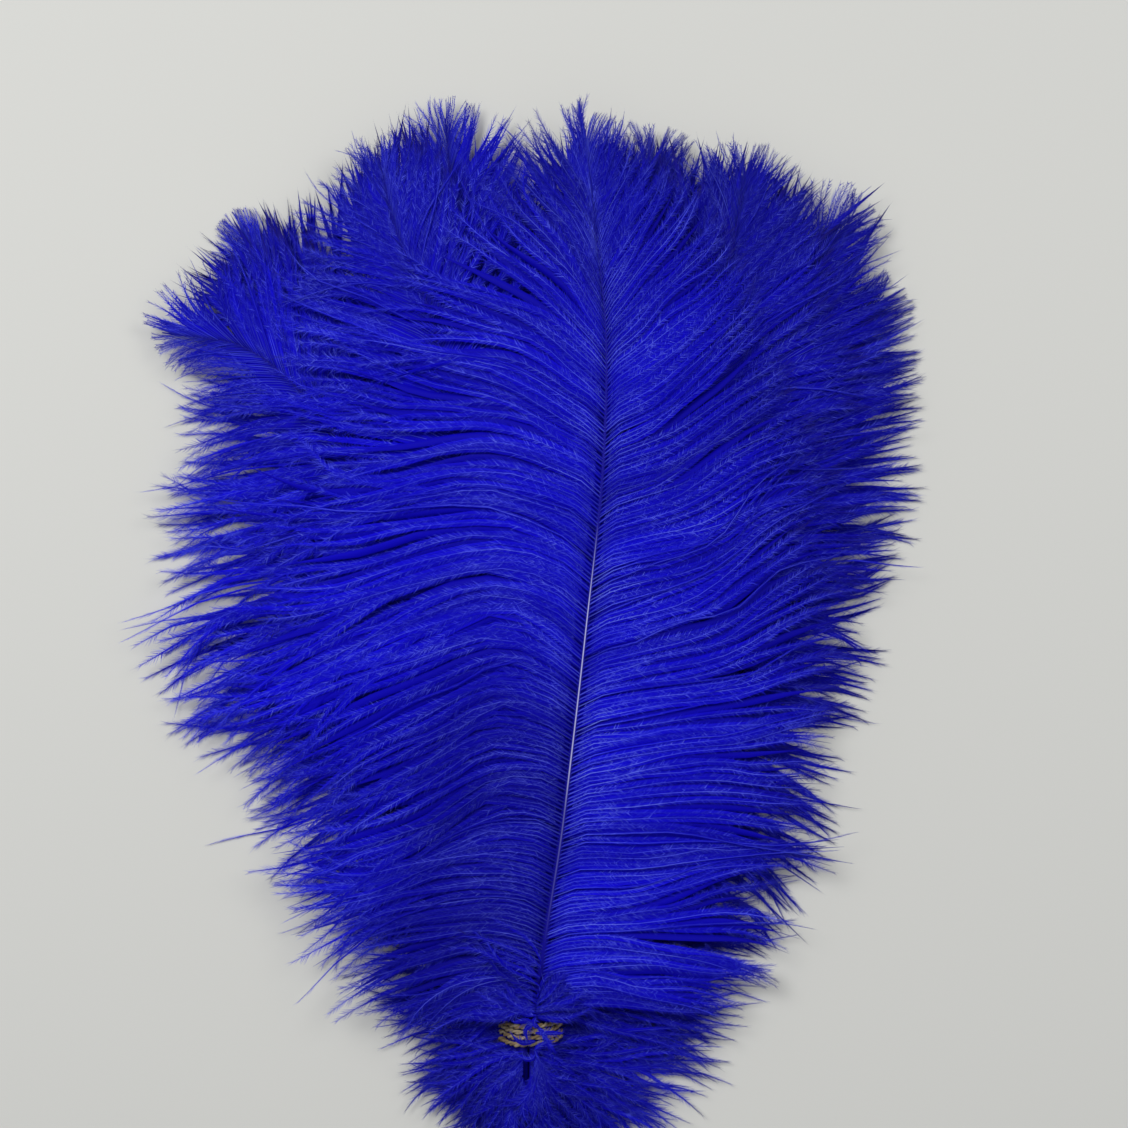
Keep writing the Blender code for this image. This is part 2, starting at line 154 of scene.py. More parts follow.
# %% Ramps
def ramp(*pairs):
    """A piecewise linear function through (x, y) pairs, for numbers and for arrays."""
    xs, ys = zip(*pairs)
    return lambda x: np.interp(x, xs, ys)


def ease(share):
    """0 to 1 with level ends."""
    share = np.clip(share, 0.0, 1.0)
    return share * share * (3 - 2 * share)

# %% Values of the CAD model
QUILL_END = -0.056            # cut ends of the quills, along Y from the tie
QUILL_RADIUS, ROOT_RADIUS, TIP_RADIUS = 0.0019, 0.00125, 0.00022
TAPER = 0.85                  # below 1, a shaft thins faster near its root than near its tip
QUILL_SINK = 0.0016           # how far the quills come down from the tie to their cut ends
QUILL_HOLD = 0.15             # share of the quill, next to the tie, that keeps its course straight
SPREAD_END = 0.028            # past the tie, the shafts have reached their layers here
FALL_RUN = 0.006              # a vane falls from its shaft to its layer over this run
FLOOR_HALF = 0.0004           # half the thickness of the vane that lies on the floor
LOWEST_LIFT = 0.0008          # the layers above it stand this much higher
EDGE_PITCH = 0.00135          # layer to layer at the rim of the bunch

# Shares are counted from the first flue of a vane, 0, to the tip of the plume, 1.
FLUE_SHARE = ramp((0, 0.50), (0.06, 0.66), (0.15, 0.82), (0.3, 0.97), (0.45, 1.0),
                  (0.6, 0.94), (0.74, 0.80), (0.86, 0.56), (0.94, 0.34), (1, 0.10))
ROOT_ANGLE = ramp((0, 60), (0.3, 40), (0.7, 32), (1, 12))
OPEN_ANGLE = (ramp((0, 108), (0.12, 96), (0.25, 84), (0.45, 78), (0.62, 66), (0.78, 48),
                   (0.86, 36), (0.94, 22), (1, 10)),
              ramp((0, 108), (0.12, 92), (0.25, 80), (0.45, 68), (0.62, 55), (0.78, 42),
                   (0.86, 34), (0.94, 21), (1, 10)))
SINK_ANGLE = (ramp((0, 18), (0.15, 30), (0.3, 38), (0.5, 28), (0.7, 18), (0.85, 8), (1, 0)),
              ramp((0, 15), (0.15, 8), (0.3, 2), (0.5, -2), (0.7, -4), (0.85, -4), (1, 0)))

# %% [markdown]
# The plumes lie on each other like cards in a fanned hand. Each keeps to a layer of its own, and
# the pile is thickest down its middle, where the shafts are, and thin at its rim. Working out
# every height from the layer's number keeps soft vanes apart that are far too fine to be checked
# against each other one by one.

# %% Heights in the pile
MIDDLE_PITCH = ramp((-0.03, 0.0016), (0, 0.0018), (0.03, 0.0027), (0.1, 0.0049), (0.18, 0.0053),
                    (0.25, 0.0036), (0.3, 0.0017))
HALF_WIDTH = ramp((-0.03, 0.040), (0, 0.052), (0.06, 0.088), (0.12, 0.108), (0.2, 0.118),
                  (0.26, 0.104), (0.3, 0.080))
MIDDLE_X = ramp((0, 0.0), (0.15, 0.002), (0.3, 0.004))


def layer_height(layer, x, y):
    """Height of the middle of a vane of this layer, over a place in plan."""
    across = np.minimum(np.abs(x - MIDDLE_X(y)) / HALF_WIDTH(y), 1.0)
    bell = 0.5 + 0.5 * np.cos(pi * across)
    pitch = EDGE_PITCH + np.maximum(MIDDLE_PITCH(y) - EDGE_PITCH, 0.0) * bell
    if layer == 0:
        return np.full_like(pitch, FLOOR_HALF)
    return FLOOR_HALF + LOWEST_LIFT + layer * pitch

# %% [markdown]
# A few points give the course of a shaft, and a smooth curve is laid through them. The quill, its
# first stretch, is straight, because the tie holds it there. Reading that curve at even steps
# makes it quick to ask where the shaft is, where it heads and how thick it is.

# %% One plume
COURSE_STEPS = 400            # even steps along a whole shaft
STRETCH_STEPS = 60            # steps between two of the given points
HEADING_REACH = 0.0015        # a shaft's direction is read over this run, ahead and behind


def smooth_course(points):
    """Close points on a smooth curve through the given ones; the quill's stretch is straight."""
    p = np.array(points, float)
    p = np.vstack([p[:1], p[1] + (p[0] - p[1]) * QUILL_HOLD, p[1:]])
    gaps = np.linalg.norm(np.diff(p, axis=0), axis=1)[:, None]
    slopes = np.diff(p, axis=0) / gaps
    inner = (slopes[:-1] * gaps[1:] + slopes[1:] * gaps[:-1]) / (gaps[:-1] + gaps[1:])
    tangents = np.vstack([slopes[:1], inner, slopes[-1:]])
    t = np.linspace(0, 1, STRETCH_STEPS, endpoint=False)[:, None]
    curve = [a * (1 + 2 * t) * (1 - t) ** 2 + b * t ** 2 * (3 - 2 * t)
             + gap * (at_a * t * (1 - t) ** 2 - at_b * t ** 2 * (1 - t))
             for a, b, at_a, at_b, gap in zip(p, p[1:], tangents, tangents[1:], gaps)]
    return np.vstack(curve + [p[-1:]])


class Plume:
    """One plume, as in the CAD model. Pairs are for its left and its right vane."""

    def __init__(self, name, layer, slot, course, start, flue, turn=(0, 0), sink=(0.6, 1.0),
                 fan=(0, 0), foot=(0, 0), trim=(0, 0), settle=None, bare=0.004):
        self.name, self.layer, self.slot = name, layer, slot
        self.start, self.flue, self.turn, self.sink = start, flue, turn, sink
        self.fan, self.foot, self.trim = fan, foot, trim
        self.settle, self.bare = settle, bare
        curve = smooth_course(course)
        runs = np.concatenate([[0], np.cumsum(np.linalg.norm(np.diff(curve, axis=0), axis=1))])
        self.length = runs[-1]
        self.runs = np.linspace(0, self.length, COURSE_STEPS)
        self.course = np.column_stack([np.interp(self.runs, runs, curve[:, k]) for k in (0, 1)])

    def run_at(self, y):
        """Distance along the shaft, from the cut end, at which it passes a height in plan."""
        return float(np.interp(y, self.course[:, 1], self.runs))

    def plan(self, run):
        """The shaft's place in plan, for an array of distances along it."""
        return np.stack([np.interp(run, self.runs, self.course[:, 0]),
                         np.interp(run, self.runs, self.course[:, 1])], axis=-1)

    def heading(self, run):
        """The shaft's direction, clockwise from +Y."""
        ahead = (self.plan(np.minimum(run + HEADING_REACH, self.length))
                 - self.plan(np.maximum(run - HEADING_REACH, 0)))
        return np.arctan2(ahead[..., 0], ahead[..., 1])

    def radius(self, run):
        """The shaft's radius: it tapers slowly in the quill and on to a fine tip in the vane."""
        tie, root = self.run_at(0.0), self.run_at(SPREAD_END)
        share = np.clip((run - root) / (self.length - root), 0, 1)
        return np.where(run <= root, np.interp(run, [tie, root], [QUILL_RADIUS, ROOT_RADIUS]),
                        ROOT_RADIUS + (TIP_RADIUS - ROOT_RADIUS) * share ** TAPER)

    def height(self, run):
        """Height of the shaft's axis: in its slot at the tie, then up into its layer."""
        place = self.plan(run)
        x, y = place[..., 0], place[..., 1]
        radius = self.radius(run)
        layer = radius if self.layer == 0 else layer_height(self.layer, x, y)
        risen = self.slot[1] + (np.maximum(layer, radius) - self.slot[1]) * ease(y / SPREAD_END)
        return np.where(y <= 0, self.slot[1] + QUILL_SINK * y / -QUILL_END, risen)

# %% [markdown]
# Each plume is told by its name, its layer, its slot (across and up) in the tie, and the course of
# its shaft. The pairs that follow are for its left and its right vane: where the vane starts, its
# longest flue, and how its flues differ from the common rule. Turn opens them further and sink
# droops their ends; fan, foot and trim change their direction at the foot of the vane and their
# length at its foot and its tip. A vane that settles comes down to the floor, and bare is how much
# of the tip carries no flue.

# %% The nine plumes
PLUMES = (
    Plume("front_plume", 8, (0.0016, 0.0134),
          ((0.0010, QUILL_END), (0.0016, 0.0), (0.0106, 0.070), (0.0173, 0.127),
           (0.0230, 0.183), (0.0235, 0.225), (0.0205, 0.255), (0.0174, 0.288)),
          start=(0.0075, 0.0075), flue=(0.116, 0.088), sink=(1.0, 1.0), fan=(0, 6),
          foot=(-0.20, 0.30), trim=(0.30, 0.15)),
    Plume("inner_left_plume", 7, (-0.0022, 0.0116),
          ((-0.0030, QUILL_END), (-0.0022, 0.0), (-0.0080, 0.070), (-0.0180, 0.150),
           (-0.0346, 0.236), (-0.0424, 0.254), (-0.0492, 0.281)),
          start=(0.032, 0.032), flue=(0.080, 0.070), turn=(4, 0), trim=(0.12, 0)),
    Plume("inner_right_plume", 6, (0.0, 0.0079),
          ((0.0006, QUILL_END), (0.0, 0.0), (0.0140, 0.070), (0.0360, 0.150),
           (0.0580, 0.225), (0.0670, 0.262), (0.0694, 0.279)),
          start=(0.034, 0.034), flue=(0.070, 0.074), turn=(0, -6)),
    Plume("right_plume", 5, (0.0043, 0.0079),
          ((0.0052, QUILL_END), (0.0043, 0.0), (0.0200, 0.060), (0.0460, 0.130),
           (0.0720, 0.195), (0.0860, 0.232), (0.0940, 0.250), (0.1060, 0.264)),
          start=(0.036, 0.036), flue=(0.066, 0.062), turn=(0, 4), sink=(0.4, 1.0)),
    Plume("left_plume", 4, (-0.0043, 0.0079),
          ((-0.0052, QUILL_END), (-0.0043, 0.0), (-0.0140, 0.060), (-0.0340, 0.125),
           (-0.0660, 0.195), (-0.0790, 0.210), (-0.0920, 0.2195), (-0.1197, 0.225)),
          start=(0.044, 0.044), flue=(0.086, 0.066), turn=(4, 0), sink=(0.5, 1.0),
          trim=(0.45, 0)),
    Plume("top_right_plume", 3, (0.00215, 0.0042),
          ((0.0026, QUILL_END), (0.00215, 0.0), (0.0120, 0.080), (0.0240, 0.170),
           (0.0340, 0.240), (0.0410, 0.286)),
          start=(0.040, 0.040), flue=(0.070, 0.070), turn=(0, -4)),
    Plume("top_left_plume", 2, (-0.00215, 0.0042),
          ((-0.0026, QUILL_END), (-0.00215, 0.0), (-0.0060, 0.060), (-0.0140, 0.140),
           (-0.0220, 0.240), (-0.0266, 0.276), (-0.0283, 0.296)),
          start=(0.042, 0.042), flue=(0.068, 0.070), bare=0.001),
    Plume("bottom_right_plume", 1, (0.0064, 0.0042),
          ((0.0078, QUILL_END), (0.0064, 0.0), (0.0220, 0.060), (0.0470, 0.125),
           (0.0740, 0.180), (0.0930, 0.212), (0.1150, 0.238)),
          start=(0.046, 0.0075), flue=(0.062, 0.068), turn=(0, 8), sink=(0.4, 1.0),
          fan=(0, -22), foot=(0, 0.45), settle=1),
    Plume("bottom_left_plume", 0, (-0.0064, 0.0042),
          ((-0.0078, QUILL_END), (-0.0064, 0.0), (-0.0180, 0.060), (-0.0400, 0.130),
           (-0.0660, 0.200), (-0.0820, 0.240), (-0.0970, 0.262)),
          start=(0.0075, 0.046), flue=(0.083, 0.062), turn=(2, 0), sink=(0.5, 1.0),
          foot=(-0.25, 0), trim=(0.32, 0.15)),
)
print("shafts in metres:", {plume.name: round(float(plume.length), 3) for plume in PLUMES})

# %% [markdown]
# ## The flow of the large front plume
# The flues of the front plume don't run straight. Those on the left rise from the shaft, arch
# over and droop towards the quill; those on the right go out nearly level and then sweep up.
# Their direction is given at a few places up the vane and at a few distances along a flue, and
# read in between.

# %% Flow of the front plume
# a row of directions for each share up the vane, one for each distance out along a flue
FLOW_OUT = (0, 0.003, 0.010, 0.020, 0.032, 0.045, 0.060, 0.110)
FLOW = (
    {0.00: (60, 84, 92, 96, 100, 104, 106, 110),
     0.06: (50, 70, 82, 92, 100, 104, 106, 110),
     0.12: (42, 60, 70, 76, 90, 104, 108, 112),
     0.18: (40, 62, 82, 96, 120, 122, 120, 112),
     0.25: (38, 60, 78, 92, 121, 121, 114, 112),
     0.34: (36, 55, 64, 74, 102, 116, 114, 112),
     0.42: (34, 50, 58, 65, 92, 113, 114, 112),
     0.50: (32, 47, 60, 64, 84, 99, 102, 102),
     0.58: (32, 48, 64, 69, 81, 90, 94, 96),
     0.65: (32, 48, 61, 63, 70, 78, 82, 86),
     0.71: (28, 42, 54, 57, 62, 66, 70, 74),
     0.77: (22, 30, 36, 40, 43, 46, 50, 54),
     0.84: (15, 20, 25, 30, 33, 36, 38, 40),
     0.92: (8, 12, 16, 20, 23, 25, 26, 26),
     1.00: (0, 4, 8, 12, 16, 18, 20, 20)},
    {0.00: (50, 78, 86, 92, 96, 98, 100, 104),
     0.06: (48, 76, 84, 86, 88, 90, 92, 98),
     0.12: (45, 75, 86, 84, 80, 80, 84, 90),
     0.18: (42, 74, 88, 94, 97, 96, 94, 92),
     0.25: (40, 70, 82, 83, 84, 84, 84, 88),
     0.34: (38, 66, 80, 80, 75, 67, 63, 74),
     0.45: (36, 62, 78, 74, 66, 59, 57, 66),
     0.56: (33, 56, 70, 66, 59, 54, 54, 62),
     0.68: (30, 48, 60, 58, 51, 46, 44, 48),
     0.74: (25, 38, 48, 47, 41, 36, 34, 36),
     0.79: (20, 28, 35, 36, 33, 29, 28, 30),
     0.88: (10, 15, 19, 22, 21, 20, 20, 20),
     1.00: (0, 5, 8, 11, 13, 15, 16, 16)})


def flow(hand, share, out):
    """Degrees of the front plume's flues away from +Y, at shares up the vane and distances out."""
    rows = np.array(list(FLOW[hand].values()), float)
    up = np.interp(share, list(FLOW[hand]), np.arange(len(rows)))
    low = np.minimum(up.astype(int), len(rows) - 2)
    part = (up - low)[:, None]
    mixed = rows[low] * (1 - part) + rows[low + 1] * part
    return np.stack([np.interp(o, FLOW_OUT, row) for o, row in zip(out, mixed)])


print("the flow is given at", [len(rows) for rows in FLOW], "places up the two vanes")

# %% [markdown]
# ## One flue
# A flue is a hair-thin stem with soft barbules along both sides. Each of its three parts is
# modelled once. The stem is a three-sided rod, extruded step by step and drawn to a point. The
# web stands for the barbules that are too fine to be told apart: a narrow strip with its ridge
# under the stem. The barbules that show are blades, one pair of them repeated by an array.
# Lengths along the blades are counted in pairs, so that one model serves long and short flues.

# %% Helpers for modelling
def edit(mode_work):
    """Runs some edit-mode operators on the active object."""
    bpy.ops.object.mode_set(mode="EDIT")
    mode_work()
    bpy.ops.object.mode_set(mode="OBJECT")


def take_apart(thing):
    """The points and triangles of a finished model as arrays; the model is then removed."""
    mesh = thing.data
    mesh.calc_loop_triangles()
    points = np.array([v.co for v in mesh.vertices])
    triangles = np.array([t.vertices for t in mesh.loop_triangles])
    bpy.data.objects.remove(thing, do_unlink=True)
    return points, triangles

# %% Stem
def model_stem(pieces):
    """A rod along Y from 0 to 1 with three sides, about 1 across, that ends in a point."""
    bpy.ops.object.select_all(action="DESELECT")
    bpy.ops.mesh.primitive_circle_add(vertices=3, radius=1.0, fill_type="NGON",
                                      rotation=(pi / 2, 0, 0))
    stem = bpy.context.object
    bpy.ops.object.transform_apply(rotation=True)

    def draw_out():
        bpy.ops.mesh.select_all(action="SELECT")
        for _ in range(pieces):
            bpy.ops.mesh.extrude_region_move(
                TRANSFORM_OT_translate={"value": (0, 1 / pieces, 0)})
        bpy.ops.mesh.merge(type="CENTER")
        bpy.ops.mesh.select_all(action="SELECT")
        bpy.ops.mesh.normals_make_consistent(inside=False)

    edit(draw_out)
    return take_apart(stem)

# %% Web
def model_web(pieces):
    """A strip along Y from 0 to 1 and from -1 to 1 across, with a line down its middle."""
    bpy.ops.object.select_all(action="DESELECT")
    bpy.ops.mesh.primitive_grid_add(x_subdivisions=2, y_subdivisions=pieces, size=2.0)
    web = bpy.context.object
    web.scale.y = 0.5
    web.location.y = 0.5
    bpy.ops.object.transform_apply(location=True, scale=True)
    return take_apart(web)

# %% Barbules
BLADE = ((0, 0.2, 0), (0, 0.75, 0), (1, 1, 0))   # its two ends at the stem, and its tip
BARBULE_ROWS = (12, 18, 27, 40, 56, 76, 100, 130, 165, 205, 250)
LONG_STEPS, SHORT_STEPS = 11, 7                  # of a long flue's stem and web, and a short one's


def model_barbules(pairs):
    """Pairs of barbules along Y, one pair to a unit: base, base and tip of each blade."""
    bpy.ops.object.select_all(action="DESELECT")
    bpy.ops.mesh.primitive_circle_add(vertices=3, radius=1.0, fill_type="NGON")
    blade = bpy.context.object
    for vertex, place in zip(blade.data.vertices, BLADE):
        vertex.co = place
    mirror = blade.modifiers.new("other_side", "MIRROR")
    mirror.use_mirror_merge = False
    array = blade.modifiers.new("along", "ARRAY")
    array.use_relative_offset = False
    array.use_constant_offset = True
    array.constant_offset_displace = (0, 1, 0)
    array.count = pairs
    bpy.context.view_layer.objects.active = blade
    bpy.ops.object.modifier_apply(modifier="other_side")
    bpy.ops.object.modifier_apply(modifier="along")
    return take_apart(blade)


LONG, SHORT = [(model_stem(steps), model_web(steps)) for steps in (LONG_STEPS, SHORT_STEPS)]
BARBULES = {pairs: model_barbules(pairs) for pairs in BARBULE_ROWS}
print("triangles of stems and webs:", [[len(part[1]) for part in kind] for kind in (LONG, SHORT)],
      "and of barbules:", {pairs: len(part[1]) for pairs, part in BARBULES.items()})

# %% [markdown]
# ## A vane of flues
# Flues spring from the shaft one by one and lie side by side like combed threads. Their
# direction drifts slowly along the shaft, so that they crowd in one place and part in the next.
# Two or three neighbours cling together as a strand, and towards the edge the strands gather in
# loose locks, so each flue's own curve is drawn a little towards the middle of its strand and
# lock. A few stray flues cross the others.

# %% Strands, locks and drift
CURVE_POINTS = 32
U = np.linspace(0, 1, CURVE_POINTS)
STRAND_SIZES, LOCK_SIZES = (1, 2, 2, 2, 3), (4, 5, 6, 8)   # how many flues cling together


def groups(count, sizes, rng):
    """Numbers of consecutive groups with sizes drawn at random."""
    ids, group = [], 0
    while len(ids) < count:
        ids += [group] * int(rng.choice(sizes))
        group += 1
    return np.array(ids[:count])


def own(ids, spread, rng):
    """One random value for each group, given to all its members."""
    return rng.normal(0, spread, ids.max() + 1)[ids]


def leading(ids):
    """1 for the first flue of each strand and 0 for the others."""
    return np.concatenate([[1.0], np.diff(ids) > 0])


def drifting(runs, spread, reach, rng):
    """One random value for each flue, which changes smoothly along the shaft."""
    knots = np.arange(runs[0] - reach, runs[-1] + 3 * reach, reach)
    values = rng.normal(0, spread, len(knots))
    place = (runs - knots[0]) / reach
    low = np.clip(place.astype(int), 0, len(knots) - 2)
    return values[low] + (values[low + 1] - values[low]) * ease(place - low)


def drawn_to_middle(curves, ids, pull):
    """Curves moved towards the mean curve of their group, by a share for each flue and point."""
    means = np.stack([curves[ids == g].mean(axis=0) for g in range(ids.max() + 1)])
    return curves + (means[ids] - curves) * pull[..., None]


def run_out(root, way, length):
    """Plan points of flues, from their roots and their compass directions at every point."""
    step = (length / (CURVE_POINTS - 1))[:, None]
    middle = (way[:, 1:] + way[:, :-1]) / 2
    zero = np.zeros((len(root), 1))
    xs = root[:, :1] + np.hstack([zero, np.cumsum(np.sin(middle) * step, axis=1)])
    ys = root[:, 1:] + np.hstack([zero, np.cumsum(np.cos(middle) * step, axis=1)])
    return np.stack([xs, ys], axis=-1)

# %% [markdown]
# The outline of the bunch is its most telling line, and it isn't smooth: locks reach out in one
# place and stop short in the next. EDGE_REACH stretches or shortens each flue by where its end
# comes to lie along the bunch, on the left and on the right, and WIDEST_END stops any from
# leaving the CAD model's width by more than a few millimetres. That is quicker to tune than the
# length of every single flue.

# %% The outline
EDGE_REACH = (ramp((-0.02, 0.95), (0.012, 0.98), (0.027, 0.85), (0.058, 0.94), (0.076, 0.84),
                   (0.088, 0.98), (0.101, 1.12), (0.127, 1.05), (0.140, 1.0)),
              ramp((-0.02, 0.94), (0.008, 1.06), (0.030, 1.15), (0.052, 1.15), (0.082, 1.02),
                   (0.150, 1.02), (0.195, 0.97), (0.240, 0.97)))
WIDEST_END = 0.131

# %% Directions of the flues
SOFT_BEND = 0.006             # a flue opens from its root's direction over this run
SWING_RUN = 0.02              # and swings freely past this one
NEAR_TURNS = (2.2, 0.8, 1.2)  # degrees of drift, of each strand's own turn and each flue's own
END_TURNS = ((10, 5, 12), (10, 5, 6))
NEAR_REACH, END_REACH = 0.012, 0.011
LOCK_TURN, STRAY_TURN = 4, 16
LONG_SWAY, LONG_SWAY_RUN, SWAY_SHIFT_RUN, LOCK_SHIFT = 5, 0.050, 0.11, 0.08
SHORT_SWAY, SHORT_SWAY_RUNS = 6, (0.022, 0.045)


def even_flow(plume, hand, share, out, angles, heading):
    """Degrees of the flues away from their shaft, at all their points, before they wander."""
    if plume.name == "front_plume":
        side = -1 if hand == 0 else 1
        return flow(hand, share, out) - side * np.degrees(heading)[:, None]
    at_root, opened, turned = angles
    return (opened[:, None] + (at_root - opened)[:, None] * np.exp(-out / SOFT_BEND)
            + turned[:, None] * U[None, :] ** 1.3)


def wander(away, hand, runs, out, strand, lock, stray, rng):
    """The even flow with every flue's own turns and two waves added."""
    count = len(runs)
    drift, by_strand, by_flue = NEAR_TURNS
    near = (drifting(runs, drift, NEAR_REACH, rng) + own(strand, by_strand, rng)
            + rng.normal(0, by_flue, count))
    drift, by_strand, by_flue = END_TURNS[hand]
    end = (drifting(runs, drift, END_REACH, rng) + own(strand, by_strand, rng)
           + rng.normal(0, by_flue, count))
    end = end + own(lock, LOCK_TURN, rng) + stray * rng.normal(0, STRAY_TURN, count)
    sway = LONG_SWAY * np.sin(2 * pi * (out / LONG_SWAY_RUN + runs[:, None] / SWAY_SHIFT_RUN
                                        + own(lock, LOCK_SHIFT, rng)[:, None]))
    sway = sway + own(strand, SHORT_SWAY, rng)[:, None] * np.sin(
        2 * pi * (out / rng.uniform(*SHORT_SWAY_RUNS, (count, 1))
                  + own(strand, 1.0, rng)[:, None]))
    return away + (near[:, None] + sway) * ease(out / SWING_RUN) + end[:, None] * U ** 1.5

# %% Gathering the flues into strands and locks
LOCK_PULL, STRAND_PULL = (0.04, 0.12), 0.36
STRAND_OPENS = (0.9, 0.5)     # how far a strand opens again at its ends, left and right


def gather(plan, hand, strand, lock, stray):
    """The plan curves drawn towards the middle of their lock and strand; strays hardly."""
    held = (1 - 0.8 * stray)[:, None]
    plan = drawn_to_middle(plan, lock, held * LOCK_PULL[hand] * ease((U - 0.6) / 0.4))
    gathered = ease((U - 0.12) / 0.4) * (1 - STRAND_OPENS[hand] * ease((U - 0.75) / 0.25))
    return drawn_to_middle(plan, strand, held * STRAND_PULL * gathered)

# %% [markdown]
# Seen from the side, a flue leaves the top of its shaft, rises over a small crest and then falls
# into its plume's layer. The first flue of every strand and the strays lie a little higher than
# the others, so that they cast fine shadows and the vane doesn't look like one sheet.

# %% Heights of the flues
CREST_RUN = 0.0014
CREST_HEIGHT = ramp((0, 0.2), (0.45, 0.2), (0.6, 0.4), (0.9, 0.4), (1, 0.1))   # in millimetres
LIFT_DRIFT, LIFT_REACH, STRAND_LIFT, FLUE_LIFT = 0.0003, 0.008, 0.0002, 0.0001
LEADER_LIFT, STRAY_LIFT = 0.0003, 0.0008


def flue_heights(plume, hand, runs, share, plan, out, strand, stray, rng):
    """Heights of all the flues' points."""
    x, y = plan[..., 0], plan[..., 1]
    here = plume.plan(runs)
    attach = plume.height(runs) + 0.9 * plume.radius(runs)
    if plume.layer == 0:
        attach = plume.height(runs)
    step_up = attach - layer_height(plume.layer, here[:, 0], here[:, 1])
    z = layer_height(plume.layer, x, y) + step_up[:, None] * np.exp(-out / FALL_RUN)
    crest = CREST_HEIGHT(share)[:, None] * 0.001
    z = z + crest * out / CREST_RUN * np.exp(1 - out / CREST_RUN)
    if plume.settle == hand:
        z = z + (FLOOR_HALF - z) * ease(U / 0.9)[None, :]
    lift = (drifting(runs, LIFT_DRIFT, LIFT_REACH, rng) + own(strand, STRAND_LIFT, rng)
            + rng.normal(0, FLUE_LIFT, len(runs)) + LEADER_LIFT * leading(strand)
            + STRAY_LIFT * stray)
    return z + lift[:, None] * ease(out / SWING_RUN)

# %% Curves of the flues
def flue_curves(plume, hand, runs, length, angles, share, stray, rng):
    """Points of all the flues of a vane, and the numbers of their strands."""
    side = -1 if hand == 0 else 1
    heading = plume.heading(runs)
    strand = groups(len(runs), STRAND_SIZES, rng)
    lock = groups(len(runs), LOCK_SIZES, rng)
    out = U[None, :] * length[:, None]
    away = even_flow(plume, hand, share, out, angles, heading)
    away = wander(away, hand, runs, out, strand, lock, stray, rng)
    across = np.stack([np.cos(heading), -np.sin(heading)], axis=-1) * side
    root = plume.plan(runs) + across * (plume.radius(runs) * 0.3)[:, None]
    way = heading[:, None] + side * np.radians(away)
    end = run_out(root, way, length)[:, -1]
    stretch = np.minimum(EDGE_REACH[hand](end[:, 1]), WIDEST_END / np.abs(end[:, 0]))
    plan, out = run_out(root, way, length * stretch), out * stretch[:, None]
    plan = gather(plan, hand, strand, lock, stray)
    z = flue_heights(plume, hand, runs, share, plan, out, strand, stray, rng)
    return np.stack([plan[..., 0] + TIE_X, plan[..., 1] + TIE_Y, z], axis=-1), strand

# %% [markdown]
# ## From curves to flues
# On each curve the flue's model is bent: its length follows the curve, and its width and height
# are measured across it and up from it, turned a little about it for each flue. Thousands of
# copies are gathered in one heap and made one mesh, because that many objects would be slow.

# %% Frames along a curve
def frames(curves, roll):
    """Unit vectors along, across and up from each curve, turned about it by roll radians."""
    along = np.gradient(curves, axis=1)
    along /= np.linalg.norm(along, axis=2, keepdims=True)
    across = np.cross(along, (0, 0, 1.0))
    across /= np.linalg.norm(across, axis=2, keepdims=True)
    up = np.cross(across, along)
    c, s = np.cos(roll)[:, None, None], np.sin(roll)[:, None, None]
    return across * c + up * s, up * c - across * s


def at(values, share):
    """Values known at CURVE_POINTS even shares, read at other shares; past 1 they run on."""
    place = share * (CURVE_POINTS - 1)
    low = np.clip(place.astype(int), 0, CURVE_POINTS - 2)
    part = place - low
    rows = np.arange(len(values))[:, None]
    a, b = values[rows, low], values[rows, low + 1]
    if values.ndim == 3:
        part = part[..., None]
    return a + (b - a) * part

# %% A heap of copies
class Heap:
    """Gathers the points, triangles and colours of many copies of a model."""

    def __init__(self):
        self.points, self.triangles, self.colours, self.count = [], [], [], 0

    def add(self, places, faces, colours):
        copies, size = places.shape[:2]
        first = self.count + np.arange(copies) * size
        self.points.append(places.reshape(-1, 3))
        self.triangles.append((faces[None] + first[:, None, None]).reshape(-1, 3))
        self.colours.append(np.broadcast_to(colours, places.shape).reshape(-1, 3))
        self.count += copies * size

# %% [markdown]
# ## The dye and its painted light
# The dye is one deep blue. The paler and darker blues beside it are painted light: the web
# between the barbules is a little darker as painted shade, and single barbules and the tops of
# the stems carry painted highlights. The very ends are dull. A flue is finer than what a rough
# surface can show as gloss, so these colours are given to its points and not left to the shader.
# A tone makes whole flues or vanes darker or lighter, partly at random and partly as painted
# shade and light, and the sheen lets the painted glints come and go in wide soft bands, as light
# does on combed hair. The glints ask for more blue than a surface may have, and what is above
# BRIGHTEST is cut off.

# %% Dyes, painted highlights and the barbules' habits
# WEB_DYE is a little darker than EDGE_DYE: painted shade between the barbules
WEB_DYE = np.array((0.0036, 0.0011, 0.59))
EDGE_DYE = np.array((0.0040, 0.0016, 0.62))
TIP_DYE = np.array((0.014, 0.010, 0.170))
# the next two colours are painted highlights, on single barbules and on the tops of the stems
PAINTED_GLINT = np.array((0.205, 0.265, 1.35))
PAINTED_STEM_GLINT = np.array((0.190, 0.250, 1.45))
BRIGHTEST = 0.98
TIP_FADE = 0.12               # share of a flue over which it fades to the dull end
ROLL = 0.22                   # radians by which flues are turned about their curves
# the most painted glint that a stem may carry
BRIGHTEST_GLINT = 0.80
CLUMP_BREAKS = 0.42           # chance that a barbule starts a new clump
CLUMP_PULL = 0.6
WEB_SLOPE, WEB_DROP = 0.55, 0.00006
NARROWEST_WEB = 0.00003
DROOP, DROOP_SPREAD = 0.08, 0.42
PAST_TIP = 1.06               # barbules may lean past the end of their flue by this share
# painted shine of the barbules: its least and its most, and the share of it left at their tips
LEAST_SHINE, MOST_SHINE, TIP_SHINE = 0.05, 0.46, 0.7

